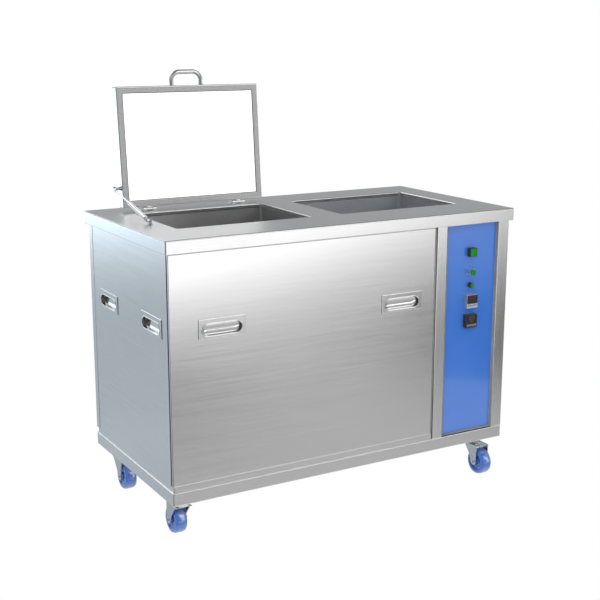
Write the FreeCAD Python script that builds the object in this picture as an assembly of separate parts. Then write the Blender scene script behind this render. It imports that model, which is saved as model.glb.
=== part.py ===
# Parts washer tank: a stainless cabinet on castors with two wash tanks let into its worktop,
# a raised hinged lid with a gas strut over the left tank, lift-off front and side covers,
# and a control panel at the right of the front.  Units are millimetres, +Z is up.
# The origin is on the floor under the middle of the cabinet; the front faces -Y.
import FreeCAD, Part
import math
import os

Vec = FreeCAD.Vector
X, Y, Z = Vec(1, 0, 0), Vec(0, 1, 0), Vec(0, 0, 1)
LEFT, FRONT = Vec(-1, 0, 0), Vec(0, -1, 0)

os.makedirs("parts", exist_ok=True)

# ------------------------------------------------------------------ driving dimensions
GAP = 0.05              # gap between pieces that sit against each other
RUN = 0.05              # running clearance on radius

TOP_HX, TOP_HY = 625.0, 325.0       # worktop half width and half depth
TOP_Z = 928.0           # worktop height over the floor
TOP_T = 2.5             # worktop sheet
TOP_UNDER = TOP_Z - TOP_T
FASCIA_Z = 888.0        # lower edge of the folded fascia

BODY_HX, BODY_HY = 613.5, 314.5     # cabinet half width and half depth
BASE_Z0, BASE_Z1 = 134.0, 175.0     # base channel
RAIL_Z1 = 194.0         # top of the inset lower rail
RAIL_INSET = 4.0        # rail face behind the cabinet face
PANEL_Z0, PANEL_Z1 = 194.6, 886.5   # covers
SHEET = 1.5             # cover sheet

TANK_W, TANK_D = 459.0, 331.0       # wash tank mouth
TANK_CX = (-278.0, 292.0)           # tank centres
TANK_CY = 17.5
TANK_DEPTH = 350.0
TANK_Z0 = TOP_Z - TANK_DEPTH        # tank floor
TANK_T = 2.0            # tank wall
TANK_GAP = 0.3          # between the worktop lip and the tank wall
MOUTH_R = 8.0           # corner radius of the mouth
LIP_DROP, LIP_T = 13.0, 2.5         # lip folded down round the mouth
DRAIN_Y = 150.0         # drain neck centre
NECK_R, NECK_H = 18.0, 6.0
VALVE_Y, VALVE_Z = 281.0, 300.0     # middle of the drain valves

BAY_X = (321.7, 362.0, 570.0)       # left stile's outer side, then the bay opening
CTRL_X = 465.6          # centre line of the controls
CTRL_Y = -304.5         # control panel face
FAN_Y, FAN_Z = -60.0, 330.0         # fan centre
FAN_X = BODY_HX - SHEET - 0.1       # outer face of the fan frame
GLAND_X, GLAND_Z = 470.0, 250.0     # cable gland on the rear cover

SCREW_Z = (215.0, 440.0, 665.0, 868.0)      # rows of cover screws
REAR_SCREW_X = (-573.0, 573.0)
RIGHT_SCREW_Y = (-273.0, 275.5)

CASTER_X, CASTER_YF, CASTER_YB = 555.5, -239.0, 243.0
# name, side in X, swivel Y, trail direction in Y
CASTERS = (
    ("front_left", -1, CASTER_YF, 1),
    ("front_right", 1, CASTER_YF, -1),
    ("rear_left", -1, CASTER_YB, -1),
    ("rear_right", 1, CASTER_YB, -1),
)


# ------------------------------------------------------------------ helpers
def box(x0, y0, z0, x1, y1, z1):
    """Box between two opposite corners, given in any order."""
    return Part.makeBox(abs(x1 - x0), abs(y1 - y0), abs(z1 - z0),
                        Vec(min(x0, x1), min(y0, y1), min(z0, z1)))


def cylinder(radius, length, start, axis):
    return Part.makeCylinder(radius, length, Vec(*start), axis)


def fuse(items):
    return items[0].fuse(list(items[1:])).removeSplitter()


def round_edges(shape, radius, pick):
    """Fillet the edges that pick() accepts; with none, the shape stays as it is."""
    edges = [e for e in shape.Edges if pick(e)]
    return shape.makeFillet(radius, edges) if edges else shape


def along(edge, axis):
    if len(edge.Vertexes) < 2:
        return False
    span = edge.Vertexes[0].Point - edge.Vertexes[-1].Point
    length = abs(span.dot(axis))
    return length > 1e-3 and abs(span.x) + abs(span.y) + abs(span.z) - length < 1e-4


def at(edge, axis, place):
    return all(abs(v.Point.dot(axis) - place) < 1e-3 for v in edge.Vertexes)


def round_rim(shape, radius, axis, place):
    """Fillet every edge that lies in the plane at this place on the axis."""
    return round_edges(shape, radius, lambda e: at(e, axis, place))


def rounded_box(x0, y0, z0, x1, y1, z1, radius, axis=Z):
    return round_edges(box(x0, y0, z0, x1, y1, z1), radius, lambda e: along(e, axis))


def face_block(x, z, half_x, half_z, y0, y1, radius=0):
    """Block centred on (x, z), from y0 to y1, its edges along Y rounded."""
    corners = (x - half_x, y0, z - half_z, x + half_x, y1, z + half_z)
    return rounded_box(*corners, radius, Y) if radius else box(*corners)


def body_box(inset, z0, z1, radius=0):
    """Block over the cabinet plan, inset on all four sides."""
    half_x, half_y = BODY_HX - inset, BODY_HY - inset
    corners = (-half_x, -half_y, z0, half_x, half_y, z1)
    return rounded_box(*corners, radius) if radius else box(*corners)


def stadium(cx, cz, width, height, y0, y1):
    """Bar with round ends, long in X, from y0 to y1."""
    r = height / 2.0
    xa, xb = cx - width / 2.0 + r, cx + width / 2.0 - r
    return fuse([box(xa, y0, cz - r, xb, y1, cz + r),
                 cylinder(r, y1 - y0, (xa, y0, cz), Y),
                 cylinder(r, y1 - y0, (xb, y0, cz), Y)])


def turned(profile, centre, axis):
    """Revolve a closed outline of (distance along the axis, radius) points."""
    outward = Z if abs(axis.z) < 0.9 else X
    origin = Vec(*centre)
    points = [origin + axis * a + outward * r for a, r in profile]
    outline = Part.makePolygon(points + [points[0]])
    return Part.Face(outline).revolve(origin, axis, 360)


def swept(path, radius, start, direction):
    """Round bar along a wire."""
    section = Part.Wire([Part.makeCircle(radius, start, direction)])
    return path.makePipeShell([section], True, False)


def turn(shape, point, axis, degrees):
    copy = shape.copy()
    copy.rotate(Vec(*point), axis, degrees)
    return copy


def save(name, *shapes):
    solids = [solid for shape in shapes for solid in shape.Solids]
    out = solids[0] if len(solids) == 1 else Part.makeCompound(solids)
    out.exportStep("parts/%s.step" % name)


# ------------------------------------------------------------------ worktop and tanks
def tank_block(cx, margin, z0, z1):
    """Rounded block over a tank mouth, grown by margin on all four sides."""
    half_x, half_y = TANK_W / 2.0 + margin, TANK_D / 2.0 + margin
    return rounded_box(cx - half_x, TANK_CY - half_y, z0,
                       cx + half_x, TANK_CY + half_y, z1, MOUTH_R + margin)


def worktop():
    outer = rounded_box(-TOP_HX, -TOP_HY, FASCIA_Z, TOP_HX, TOP_HY, TOP_Z, 5.0)
    outer = round_rim(outer, 3.5, Z, TOP_Z)
    outer = round_rim(outer, 1.2, Z, FASCIA_Z)
    inner = rounded_box(-TOP_HX + TOP_T, -TOP_HY + TOP_T, FASCIA_Z + 2.0,
                        TOP_HX - TOP_T, TOP_HY - TOP_T, TOP_UNDER, 2.6)
    # opening in the folded lower edge, round the cabinet
    opening = box(-BODY_HX - 2.0, -BODY_HY - 1.0, FASCIA_Z - 5,
                  BODY_HX + 2.0, BODY_HY + 1.0, TOP_UNDER)
    top = outer.cut([inner, opening])
    for cx in TANK_CX:
        top = top.fuse(tank_block(cx, LIP_T, TOP_Z - LIP_DROP, TOP_UNDER + 0.5))
        top = top.cut(tank_block(cx, 0.0, TOP_Z - 50, TOP_Z + 10)).removeSplitter()

        def mouth_rim(edge):
            middle = edge.CenterOfMass
            return (at(edge, Z, TOP_Z) and abs(middle.x - cx) < TANK_W / 2.0 + 1
                    and abs(middle.y - TANK_CY) < TANK_D / 2.0 + 1)
        top = round_edges(top, 3.2, mouth_rim)
    return top


def tank(cx):
    inner_margin = LIP_T + TANK_GAP
    z1 = TOP_UNDER - 0.2
    outer = tank_block(cx, inner_margin + TANK_T, TANK_Z0 - TANK_T, z1)
    outer = round_rim(outer, 10.0, Z, TANK_Z0 - TANK_T)
    inner = tank_block(cx, inner_margin, TANK_Z0, z1 + 5)
    inner = round_rim(inner, 8.0, Z, TANK_Z0)
    # drain hole, with a short neck under the floor
    neck = cylinder(NECK_R, NECK_H, (cx, DRAIN_Y, TANK_Z0 - NECK_H), Z)
    hole = cylinder(12.0, 30.0, (cx, DRAIN_Y, TANK_Z0 - 20.0), Z)
    return outer.cut(inner).fuse(neck).cut(hole).removeSplitter()


# bonded transducers under the tank floors: offsets from the tank centre,
# and profile as (height from the floor, radius)
TRANSDUCER_DX = (-157.5, -52.5, 52.5, 157.5)
TRANSDUCER_DY = (-95.0, 0.0, 95.0)
TRANSDUCER = [(0, 0), (0, 22.5), (-16, 19), (-22, 17.5), (-34, 17.5), (-34, 19),
              (-52, 19), (-54, 17), (-54, 0)]


def transducers():
    z = TANK_Z0 - TANK_T - GAP
    return [turned(TRANSDUCER, (cx + dx, TANK_CY + dy, z), Z)
            for cx in TANK_CX for dx in TRANSDUCER_DX for dy in TRANSDUCER_DY]


def heater_pad(cx):
    """Flat heater on the front of a tank."""
    back = TANK_CY - TANK_D / 2.0 - LIP_T - TANK_GAP - TANK_T - GAP
    pad = face_block(cx, 700, 170, 60, back - 8, back, 10.0)
    return round_rim(pad, 2.0, Y, back - 8)


save("countertop", worktop())
save("tank_left", tank(TANK_CX[0]))
save("tank_right", tank(TANK_CX[1]))
save("transducers", *transducers())
save("heater_pads", *[heater_pad(cx) for cx in TANK_CX])

# ------------------------------------------------------------------ base frame
BASE_T = 2.5            # base channel sheet
CHANNEL_W = 42.0        # base channel width in plan
GUSSET_X, GUSSET_Y = 118, 125       # reach of the corner gussets in from the cabinet faces
GUSSET_TOP = BASE_Z0 + 5.0
BOLT_DX, BOLT_DY = 34, 27           # castor bolts from the swivel axis


def bolt_points(x, y):
    return [(x + dx, y + dy) for dx in (-BOLT_DX, BOLT_DX) for dy in (-BOLT_DY, BOLT_DY)]


def bolt_holes(x, y, z):
    return [cylinder(4.2, 12, (bx, by, z), Z) for bx, by in bolt_points(x, y)]


def base_frame():
    outer = body_box(0, BASE_Z0, BASE_Z1, 3.0)
    outer = round_edges(outer, 2.5, lambda e: at(e, Z, BASE_Z1) or at(e, Z, BASE_Z0))
    core = body_box(BASE_T, BASE_Z0 + BASE_T, BASE_Z1 - BASE_T)
    middle = body_box(CHANNEL_W, BASE_Z0 - 5, BASE_Z1 + 5)
    parts = [outer.cut([core, middle])]
    holes = []
    # corner gussets that carry the castors
    for _, side, y, _ in CASTERS:
        end = -1 if y < 0 else 1
        parts.append(box(side * (BODY_HX - 1.0), end * (BODY_HY - 1.0), BASE_Z0 + 0.01,
                         side * (BODY_HX - GUSSET_X), end * (BODY_HY - GUSSET_Y), GUSSET_TOP))
        holes += bolt_holes(side * CASTER_X, y, BASE_Z0 - 3)
    # two cross bearers, open below
    for x in (-200.0, 200.0):
        bearer = box(x - 20, -BODY_HY + 30, BASE_Z0 + 1.0, x + 20, BODY_HY - 30, BASE_Z0 + 38.0)
        parts.append(bearer.cut(box(x - 18, -BODY_HY + 20, BASE_Z0 - 2.0,
                                    x + 18, BODY_HY - 20, BASE_Z0 + 36.0)))
    return fuse(parts).cut(holes)


def bay_clearance():
    """Space at the front right that the control bay takes from the rail and floor."""
    return box(BAY_X[0] - 0.7, -400, 100, 700, -BODY_HY + 32.0, 300)


def lower_rail():
    """Inset rail below the covers; it stops at the control bay."""
    outer = body_box(RAIL_INSET, BASE_Z1 + GAP, RAIL_Z1, 2.0)
    middle = body_box(RAIL_INSET + 25, BASE_Z1 - 5, RAIL_Z1 + 5)
    under = body_box(RAIL_INSET + 2, BASE_Z1 - 5, RAIL_Z1 - 2)
    return outer.cut([middle, under, bay_clearance()])


def floor_plate():
    plate = body_box(RAIL_INSET + 2.5, BASE_Z1 + GAP, BASE_Z1 + 1.5, 6.0)
    slots = [rounded_box(x - 60, -20, 100, x + 60, 20, 300, 15.0) for x in (-380, 380)]
    return plate.cut([box(-60, -120, 100, 60, 120, 300)] + slots + [bay_clearance()])


save("base_frame", base_frame())
save("lower_rail", lower_rail())
save("floor_plate", floor_plate())

# ------------------------------------------------------------------ posts and bay stiles
POST_Z0, POST_Z1 = RAIL_Z1 + 0.1, TOP_UNDER - 0.1
POST_T = 2.0
BEHIND = SHEET + GAP            # depth of a strip's outer face behind a cover
STRIP = BEHIND + POST_T         # depth of its inner face


def rear_post(side):
    def wall(xa, ya, xb, yb):
        return box(side * xa, ya, POST_Z0, side * xb, yb, POST_Z1)
    post = fuse([wall(BODY_HX, 286.0, BODY_HX - POST_T, BODY_HY),
                 wall(BODY_HX, BODY_HY - POST_T, BODY_HX - 30, BODY_HY),
                 wall(BODY_HX, BODY_HY - STRIP, 563.0, BODY_HY - BEHIND)])
    if side > 0:
        # strips behind the right cover
        post = fuse([post, wall(BODY_HX - BEHIND, 286.0, BODY_HX - STRIP, BODY_HY),
                     wall(BODY_HX - BEHIND, 266.0, BODY_HX - STRIP, 290.0)])
    return round_edges(post, 1.6, lambda e: along(e, Z) and at(e, X, side * BODY_HX)
                       and at(e, Y, BODY_HY))


def front_left_post():
    """Plain angle just inside the cover corner."""
    x, y = -597, -298
    return fuse([box(x, y, POST_Z0, x + 25, y + POST_T, POST_Z1),
                 box(x, y, POST_Z0, x + POST_T, y + 25, POST_Z1)])


def stile(x0, x1, depth):
    """Channel at one side of the control bay, open to the back."""
    front = -BODY_HY
    bar = box(x0, front, BASE_Z1 + 0.1, x1, front + depth, POST_Z1)
    bar = round_edges(bar, 2.0, lambda e: along(e, Z) and at(e, Y, front))
    return bar.cut(box(x0 + 1.5, front + 1.5, 0, x1 - 1.5, front + 60, 2000))


def left_stile():
    flange = box(BAY_X[0] - 16, -BODY_HY + 20, POST_Z0, BAY_X[0] + 1, -BODY_HY + 22, POST_Z1)
    return fuse([stile(BAY_X[0], BAY_X[1], 28), flange])


def right_stile():
    x = BODY_HX - STRIP
    return fuse([stile(BAY_X[2], BODY_HX, 30),
                 box(x, -BODY_HY + 2, POST_Z0, BODY_HX - BEHIND, -BODY_HY + 52, POST_Z1),
                 box(x, -BODY_HY + 4, POST_Z0, BODY_HX - 1.0, -BODY_HY + 28, POST_Z1)])


save("frame_posts", rear_post(-1), rear_post(1), front_left_post())
save("bay_stiles", left_stile(), right_stile())

# ------------------------------------------------------------------ lift-off covers, flush pulls
FRONT_FOLD, SIDE_FOLD = 8.5, 15.0   # depth of the folded edges
SIDE_Y = (-301.5, 284.0)            # ends of the side cover
PULL_W, PULL_H = 153.0, 59.0
PULL_PROUD = 2.0
SLOT_W, SLOT_H = 130.5, 38.0        # hole in the cover behind a pull
PULL_Z = 660.0
CUP_Z = PULL_Z - 4.4                # finger cup and slot centre
PULL_FRONT_X = (-447.5, 186.5)
PULL_SIDE_Y = (155.5, -185.8)
CUP_HALF = 46.25                    # half length of the straight part of the finger cup
CUP_R = 21.0                        # outer radius of the cup's lip

# Outline of one half of the cup wall: (distance from the cup's centre line, depth behind the
# cover face).  Each row runs on from the last point of the row before:
# one point is a line, two an arc, three a spline.
CUP_START = (0, 11.3)
CUP_OUTLINE = (
    ((0, 10.1),),
    ((3.0, 10.1),),
    ((6.0, 9.95), (9.6, 9.5), (13.2, 8.6)),
    ((14.9, 7.75), (15.6, 6.0)),
    ((16.75, -1.6),),
    ((18.6, -3.05), (20.4, -2.0)),
    ((CUP_R, -2.0),),
    ((CUP_R, -0.05),),
    ((17.95, -0.05),),
    ((16.85, 6.2),),
    ((15.9, 8.65), (13.6, 9.8)),
    ((10.0, 10.7), (6.2, 11.15), (3.0, 11.3)),
    (CUP_START,),
)


def spline(points):
    curve = Part.BSplineCurve()
    curve.interpolate(points)
    return curve.toShape()


def cup_section(x, face_y, side):
    """Half section of the cup at x, above (1) or below (-1) its centre line."""
    edges = []
    last = CUP_START
    for row in CUP_OUTLINE:
        points = [Vec(x, face_y + depth, CUP_Z + side * out) for out, depth in (last,) + row]
        if len(points) == 2:
            edges.append(Part.makeLine(*points))
        elif len(points) == 3:
            edges.append(Part.Arc(*points).toShape())
        else:
            edges.append(spline(points))
        last = row[-1]
    return Part.Face(Part.Wire(edges))


def pull(cx, face_y):
    """Pressed plate with a rolled lip round a shallow finger cup."""
    front = face_y - PULL_PROUD
    plate = face_block(cx, PULL_Z, PULL_W / 2, PULL_H / 2, front, face_y - GAP, 2.2)
    plate = round_rim(plate, 1.75, Y, front)
    plate = plate.cut(stadium(cx, CUP_Z, 2 * (CUP_HALF + CUP_R), 2 * CUP_R,
                              face_y - 5, face_y + 5))
    xl, xr = cx - CUP_HALF, cx + CUP_HALF
    straight = Vec(2 * CUP_HALF, 0, 0)
    cup = [cup_section(xl, face_y, 1).extrude(straight),
           cup_section(xl, face_y, -1).extrude(straight),
           cup_section(xl, face_y, 1).revolve(Vec(xl, 0, CUP_Z), FRONT, 180),
           cup_section(xr, face_y, 1).revolve(Vec(xr, 0, CUP_Z), Y, 180)]
    return plate.fuse(cup).removeSplitter()


def cover(x0, x1, face_y, fold, slot_xs):
    """Tray with its face at face_y, its edges folded back, and a slot for each pull."""
    tray = box(x0, face_y, PANEL_Z0, x1, face_y + fold, PANEL_Z1)
    tray = round_rim(tray, 2.4, Y, face_y)
    tray = tray.cut(box(x0 + SHEET, face_y + SHEET, PANEL_Z0 + SHEET,
                        x1 - SHEET, face_y + fold + 5, PANEL_Z1 - SHEET))
    for x in slot_xs:
        tray = tray.cut(stadium(x, CUP_Z, SLOT_W, SLOT_H, face_y - 5, face_y + 10))
    return tray


def to_left_side(shape):
    """Turn a piece made facing -Y to face -X; its x becomes -y."""
    return turn(shape, (0, 0, 0), Z, -90)


save("front_panel", cover(-BODY_HX, 314.5, -BODY_HY, FRONT_FOLD, PULL_FRONT_X))
save("front_pulls", *[pull(x, -BODY_HY) for x in PULL_FRONT_X])
save("left_panel", to_left_side(cover(-SIDE_Y[1], -SIDE_Y[0], -BODY_HX, SIDE_FOLD,
                                      [-y for y in PULL_SIDE_Y])))
save("side_pulls", *[to_left_side(pull(-y, -BODY_HX)) for y in PULL_SIDE_Y])

# ------------------------------------------------------------------ fixed rear and right covers
LOUVRE_X = (-360.0, 0.0, 360.0)     # centres of the louvre banks
LOUVRE_Z0, LOUVRE_PITCH, LOUVRE_ROWS = 620.0, 22.0, 8
LOUVRE_HALF, LOUVRE_R = 75, 7.0     # half length, radius of the hood
LOUVRE_T = 1.4                      # hood wall
VENT_RINGS = ((12, 6), (24, 12), (36, 18), (48, 24))    # ring radius, number of holes
VENT_R = 3.2
SCREW_HOLE_R = 2.6

# (distance out from the cover face, radius)
SCREW_HEAD = [(0.05, 0), (0.05, 4.6), (1.2, 4.4), (2.2, 3.2), (2.6, 1.6), (2.6, 0)]
GLAND = [(-12, 5.2), (-12, 10.0), (-1.6, 10.0), (0.05, 10.0), (0.05, 14.0), (4.0, 14.0),
         (6.0, 11.0), (8.5, 9.5), (9.5, 8.0), (9.5, 5.2)]


def louvre_hood(cx, z):
    """Upper part of a closed half-round shell standing out from the rear cover."""
    half = LOUVRE_HALF - LOUVRE_T
    hood = cylinder(LOUVRE_R, 2 * LOUVRE_HALF, (cx - LOUVRE_HALF, BODY_HY, z), X)
    return hood.cut([
        cylinder(LOUVRE_R - LOUVRE_T, 2 * half, (cx - half, BODY_HY, z), X),
        box(cx - 80, BODY_HY - 20, z - 20, cx + 80, BODY_HY - SHEET + 0.2, z + 20),
        box(cx - 80, BODY_HY - 20, z - 20, cx + 80, BODY_HY + 20, z - 2.0)])


def rear_cover():
    sheet = rounded_box(-582.5, BODY_HY - SHEET, PANEL_Z0, 582.5, BODY_HY, PANEL_Z1, 3.0, Y)
    # windows at the drain valves
    tools = [rounded_box(cx - 82, 280, VALVE_Z - 50, cx + 82, 340, VALVE_Z + 62, 10.0, Y)
             for cx in TANK_CX]
    hoods = []
    half = LOUVRE_HALF - LOUVRE_T
    for cx in LOUVRE_X:
        for row in range(LOUVRE_ROWS):
            z = LOUVRE_Z0 + LOUVRE_PITCH * row
            hoods.append(louvre_hood(cx, z))
            tools.append(box(cx - half, 300, z - 2.0, cx + half, BODY_HY + 0.01, z + 5.0))
    tools += [cylinder(SCREW_HOLE_R, 30, (x, 300, z), Y) for x in REAR_SCREW_X for z in SCREW_Z]
    tools.append(cylinder(10.2, 30, (GLAND_X, 300, GLAND_Z), Y))
    return sheet.cut(tools).fuse(hoods).removeSplitter()


def right_cover():
    sheet = rounded_box(BODY_HX - SHEET, -283.5, PANEL_Z0, BODY_HX, 284.0, PANEL_Z1, 3.0, X)
    tools = []
    for ring, count in VENT_RINGS:
        for k in range(count):
            a = 2 * math.pi * k / count
            centre = (600, FAN_Y + ring * math.cos(a), FAN_Z + ring * math.sin(a))
            tools.append(cylinder(VENT_R, 20, centre, X))
    tools.append(cylinder(VENT_R, 20, (600, FAN_Y, FAN_Z), X))
    tools += [cylinder(SCREW_HOLE_R, 30, (600, y, z), X) for y in RIGHT_SCREW_Y for z in SCREW_Z]
    return sheet.cut(tools)


def screw(place, out):
    """Button head screw, shank through the sheet; out points out of the head."""
    seat = Vec(*place)
    shank = cylinder(2.45, 1.6, seat - out * 1.5, out)
    socket = cylinder(1.6, 2.0, seat + out * 1.3, out)
    return turned(SCREW_HEAD, place, out).fuse(shank).cut(socket).removeSplitter()


def panel_screws():
    screws = []
    for z in SCREW_Z:
        screws += [screw((x, BODY_HY, z), Y) for x in REAR_SCREW_X]
        screws += [screw((BODY_HX, y, z), X) for y in RIGHT_SCREW_Y]
    return screws


save("rear_panel", rear_cover())
save("right_panel", right_cover())
save("panel_screws", *panel_screws())
save("cable_gland", turned(GLAND, (GLAND_X, BODY_HY, GLAND_Z), Y))

# ------------------------------------------------------------------ control panel and controls
POWER_Z, START_Z, LAMP_Z, TIMER_Z, THERMO_Z = 793.1, 727.0, 682.6, 629.8, 562.8
CTRL_TOP = 900.0
SEAT_Y = CTRL_Y - GAP       # back of the parts that sit on the panel face
HOUSE_Y = -320.6            # front of the switch housing
POCKET_Y = -309.0           # floor of its pocket
BUTTON_Y = -312.5           # back of the buttons
CAP_Y = -322.2              # front of the square button
METER_Y = -322.0            # front of the two controllers
DISPLAY_DZ, KEYS_DZ = 7.0, -13.2    # display and key row from the controller's centre

# (distance forward from the back, radius)
LAMP_BEZEL = [(0, 0), (0, 9.4), (2.0, 9.4), (3.0, 8.3), (14.2, 8.3), (15.0, 7.9),
              (15.0, 7.55), (2.0, 7.55), (2.0, 0)]
LAMP_LENS = [(0, 0), (0, 7.45), (12.8, 7.45), (14.0, 6.8), (15.0, 5.2), (15.7, 2.8), (15.9, 0)]
START_BEZEL = [(0, 0), (0, 12.3), (1.0, 12.3), (1.4, 11.9), (14.2, 11.9), (15.2, 11.3),
               (15.2, 10.85), (4.45, 10.85), (4.45, 0)]
START_BUTTON = [(0, 0), (0, 10.6), (9.6, 10.6), (10.5, 10.1), (10.9, 9.2), (11.0, 0)]


def control_square(z, half, y0, y1, radius=0):
    return face_block(CTRL_X, z, half, half, y0, y1, radius)


def control_round(z, radius, length, y):
    return cylinder(radius, length, (CTRL_X, y, z), Y)


def control_turned(profile, y, z):
    return turned(profile, (CTRL_X, y, z), FRONT)


def control_panel():
    tray = box(BAY_X[1] + 0.8, CTRL_Y, 178.5, BAY_X[2] - 0.6, CTRL_Y + 14, CTRL_TOP)
    tray = round_edges(tray, 2.0, lambda e: at(e, Y, CTRL_Y) and not at(e, Z, CTRL_TOP))
    tray = tray.cut(box(BAY_X[1] + 2.3, CTRL_Y + 1.5, 180.0,
                        BAY_X[2] - 2.1, CTRL_Y + 40, CTRL_TOP - 1.5))
    rounds = ((POWER_Z, 11.2), (START_Z, 11.2), (LAMP_Z, 7.3))
    return tray.cut([control_round(z, radius, 20, CTRL_Y - 5) for z, radius in rounds]
                    + [control_square(z, 20.4, CTRL_Y - 5, CTRL_Y + 10)
                       for z in (TIMER_Z, THERMO_Z)])


def power_housing():
    house = control_square(POWER_Z, 14.3, HOUSE_Y, SEAT_Y, 1.8)
    house = round_rim(house, 0.4, Y, HOUSE_Y)
    house = house.cut(control_square(POWER_Z, 13.3, -330, POCKET_Y, 1.5))
    return house.fuse(control_round(POWER_Z, 11.0, 38, SEAT_Y - 0.5)).removeSplitter()


def power_button():
    button = control_square(POWER_Z, 13, CAP_Y, BUTTON_Y, 1.3)
    return round_rim(button, 0.9, Y, CAP_Y)


def bezel(profile, z, barrel_r, barrel_length):
    """Round bezel with its barrel running back through the panel."""
    barrel = control_round(z, barrel_r, barrel_length, SEAT_Y - 0.5)
    return control_turned(profile, SEAT_Y, z).fuse(barrel).removeSplitter()


def key_places(z):
    return [(CTRL_X - 15.0 + 10.0 * k, z + KEYS_DZ) for k in range(4)]


def controller_body(z):
    """Square body with a display pocket, and four key pockets under it."""
    body = control_square(z, 22.3, METER_Y, SEAT_Y, 1.6)
    body = round_rim(body, 0.7, Y, METER_Y)
    body = body.fuse(control_square(z, 20, SEAT_Y - 1, CTRL_Y + 60)).removeSplitter()
    body = body.cut(face_block(CTRL_X, z + DISPLAY_DZ, 21.4, 14.3, METER_Y - 5, METER_Y + 2.0, 1.0))
    for kx, kz in key_places(z):
        body = body.cut(face_block(kx, kz, 4.1, 2.9, METER_Y - 5, METER_Y + 1.5, 1.0))
    return body


def controller_display(z):
    return face_block(CTRL_X, z + DISPLAY_DZ, 21.2, 14.1, METER_Y + 0.3, METER_Y + 1.9, 1.0)


def controller_keys(z):
    front = METER_Y - 0.5
    return [round_rim(face_block(kx, kz, 3.9, 2.7, front, METER_Y + 1.4, 0.9), 0.4, Y, front)
            for kx, kz in key_places(z)]


save("control_panel", control_panel())
save("switch_housings", power_housing(), bezel(LAMP_BEZEL, LAMP_Z, 7.1, 30))
save("power_button", power_button())
save("start_bezel", bezel(START_BEZEL, START_Z, 11.0, 38))
save("start_button", control_turned(START_BUTTON, BUTTON_Y, START_Z))
save("lamp_lens", control_turned(LAMP_LENS, SEAT_Y - 2.05, LAMP_Z))
save("timer_body", controller_body(TIMER_Z))
save("thermostat_body", controller_body(THERMO_Z))
save("controller_displays", controller_display(TIMER_Z), controller_display(THERMO_Z))
save("controller_keys", *controller_keys(TIMER_Z), *controller_keys(THERMO_Z))

# ------------------------------------------------------------------ generator and fan
FAN_T = 26              # fan frame depth
FAN_HALF = 60           # fan frame half size
FAN_ARMS, FAN_BLADES = 3, 7
FAN_SHAFT_R = 2.0


def generator_box():
    """Box on two broad legs."""
    legs = [box(x, -250, 176.7, x + 15, -184, 240) for x in (385, 540)]
    return rounded_box(385, -262, 235, 555, -172, 505, 4.0).fuse(legs).removeSplitter()


def around_fan(shape, degrees):
    return turn(shape, (0, FAN_Y, FAN_Z), X, degrees)


def fan_frame():
    x = FAN_X - FAN_T
    frame = rounded_box(x, FAN_Y - FAN_HALF, FAN_Z - FAN_HALF,
                        FAN_X, FAN_Y + FAN_HALF, FAN_Z + FAN_HALF, 5.0, X)
    frame = frame.cut(cylinder(56.5, 60, (FAN_X - 40, FAN_Y, FAN_Z), X))
    hub_plate = cylinder(18, 3, (x, FAN_Y, FAN_Z), X)
    shaft = cylinder(FAN_SHAFT_R, 14, (FAN_X - 24, FAN_Y, FAN_Z), X)
    arm = box(x, FAN_Y - 3, FAN_Z + 10, x + 3, FAN_Y + 3, FAN_Z + 58)
    arms = [around_fan(arm, 360.0 / FAN_ARMS * k + 20) for k in range(FAN_ARMS)]
    return fuse([frame, hub_plate, shaft] + arms)


def fan_rotor():
    hub = cylinder(17.5, 18, (FAN_X - 21.5, FAN_Y, FAN_Z), X)
    hub = round_rim(hub, 2.0, X, FAN_X - 3.5)
    blade = box(FAN_X - 13.2, FAN_Y - 11, FAN_Z + 15, FAN_X - 11.8, FAN_Y + 11, FAN_Z + 54)
    blade = turn(blade, (FAN_X - 12.5, FAN_Y, FAN_Z), Z, 50)
    blades = [around_fan(blade, 360.0 / FAN_BLADES * k) for k in range(FAN_BLADES)]
    bore = cylinder(FAN_SHAFT_R + RUN, 20.6, (FAN_X - 30, FAN_Y, FAN_Z), X)
    return fuse([hub] + blades).cut(bore)


save("generator_box", generator_box())
save("fan_frame", fan_frame())
save("fan_rotor", fan_rotor())

# ------------------------------------------------------------------ drains
PIPE_R, PIPE_BORE = 13.0, 11.0
PIPE_BEND = 30.0
ARC_MID = 1 - math.sqrt(0.5)    # middle of a quarter bend from its corner tangents, per radius
STEM_R = 4.0
# valve body with a hose tail: (distance back from the valve's middle, radius)
VALVE = [(-20, 0), (-20, 17), (-9, 17), (-7, 19), (7, 19), (9, 17), (16, 17), (16, 10),
         (40, 10), (40, 0)]


def drain_pipe(cx):
    """Flange under the neck, straight down, elbow, and back to the valve."""
    top = TANK_Z0 - NECK_H - GAP
    start = Vec(cx, DRAIN_Y, top)
    bend_top = Vec(cx, DRAIN_Y, VALVE_Z + PIPE_BEND)
    middle = Vec(cx, DRAIN_Y + PIPE_BEND * ARC_MID, VALVE_Z + PIPE_BEND * ARC_MID)
    bend_end = Vec(cx, DRAIN_Y + PIPE_BEND, VALVE_Z)
    path = Part.Wire([Part.makeLine(start, bend_top),
                      Part.Arc(bend_top, middle, bend_end).toShape(),
                      Part.makeLine(bend_end, Vec(cx, VALVE_Y - 20.1, VALVE_Z))])
    outside = swept(path, PIPE_R, start, Vec(0, 0, -1))
    inside = swept(path, PIPE_BORE, start, Vec(0, 0, -1))
    flange = cylinder(NECK_R, 5.0, (cx, DRAIN_Y, top - 5.0), Z)
    flange_bore = cylinder(PIPE_BORE, 8, (cx, DRAIN_Y, top - 6), Z)
    return outside.fuse(flange).cut([inside, flange_bore]).removeSplitter()


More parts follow.
